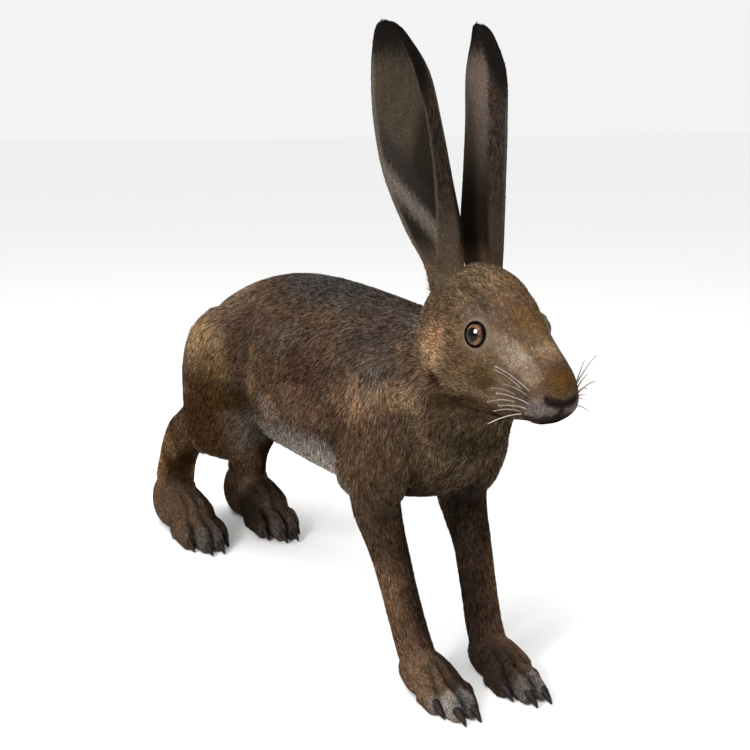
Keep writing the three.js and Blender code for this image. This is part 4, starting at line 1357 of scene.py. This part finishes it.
def buildWhiskers():
    # thin tapered tubes along a curve that droops between root and tip
    share = np.linspace(0, 1, whiskers["rows"])[:, None]
    turn = (2 * np.pi * np.arange(whiskers["around"]) / whiskers["around"])[None, :, None]
    tubes = []
    for side, name in ((-1, "right"), (1, "left")):
        for rootPixel, tipPixel, rootOut, tipOut in whiskers[name]:
            root, tip = seen(rootPixel, side * rootOut), seen(tipPixel, side * tipOut)
            start = root - whiskers["sunk"] * unit(tip - root)
            droop = np.array([0, 0, 1]) * whiskers["droop"] * np.sin(np.pi * share)
            path = start + (tip - start) * share + droop
            along = unit(np.gradient(path, axis=0))
            across = unit(np.cross(along, (0, 0, 1)))
            over = np.cross(along, across)
            radius = whiskers["thick"][name] * (1 - whiskers["taper"] * share)
            ring = np.cos(turn) * across[:, None] + np.sin(turn) * over[:, None]
            tubes.append(closedTube(path[:, None] + radius[:, None] * ring))
    hairs = addTubes("whiskers", tubes)
    hairs.data.materials.append(makeMaterial("whiskerHair", whiskerInputs))
    return hairs


eyes, claws, hairs = buildEyes(), buildClaws(), buildWhiskers()
print("eyes, claws and whiskers made")
flesh = [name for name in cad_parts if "claw" not in name and "eye" not in name]
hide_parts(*flesh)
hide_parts("eye_right", "eye_left")
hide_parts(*[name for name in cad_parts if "claw" in name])
for piece, slot in ((skin, "torso"), (eyes, "eye"), (claws, "claw"), (hairs, "head")):
    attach(piece, "root")

studio = {
    "floor": 40.0,  # metres across
    "under": 0.0005,  # how far the floor lies under the feet
    "sky": 0.9,
    "lamps": [  # name, place, watts, metres across
        ("key", (0.35, -0.5, 1.5), 17.0, 1.1),
        ("window", (0.477, -1.285, 1.006), 14.0, 0.26),
        ("glint", (0.477, -1.285, 1.006), 285.0, 0.8),
    ],
    "target": (0, 0, 0.2),
}


def floorInputs(start):
    return {"Base Color": (0.96, 0.96, 0.955, 1), "Roughness": 0.7}


def buildStudio():
    half, low = studio["floor"] / 2, -studio["under"]
    corners = np.array([(-half, -half, low), (half, -half, low), (half, half, low), (-half, half, low)])
    mesh = makeMesh("floor", corners, np.array([[0, 1, 2, 3]]))
    mesh.materials.append(makeMaterial("paleFloor", floorInputs))
    addPiece("floor", mesh)
    world = bpy.data.worlds.new("studio")
    world.use_nodes = True
    background = world.node_tree.nodes["Background"]
    background.inputs["Color"].default_value = (1, 1, 1, 1)
    background.inputs["Strength"].default_value = studio["sky"]
    bpy.context.scene.world = world
    for name, place, power, size in studio["lamps"]:
        lamp = bpy.data.lights.new(name, "AREA")
        lamp.energy, lamp.size = power, size
        holder = bpy.data.objects.new(name, lamp)
        holder.location = place
        holder.visible_diffuse = name != "glint"  # this one only shows in the eyes
        holder.rotation_euler = (Vector(studio["target"]) - Vector(place)).to_track_quat("-Z", "Y").to_euler()
        bpy.context.collection.objects.link(holder)


def buildCamera():
    lens = bpy.data.cameras.new("camera")
    lens.lens, lens.sensor_width = view["lens"], view["sensor"]
    camera = bpy.data.objects.new("camera", lens)
    camera.location = toFrame(view["place"])
    camera.rotation_euler = Euler(np.radians((90 - view["down"], 0, view["round"])))
    bpy.context.collection.objects.link(camera)
    bpy.context.scene.camera = camera


buildStudio()
buildCamera()
bpy.context.scene.view_settings.view_transform = "Standard"
bpy.context.view_layer.update()
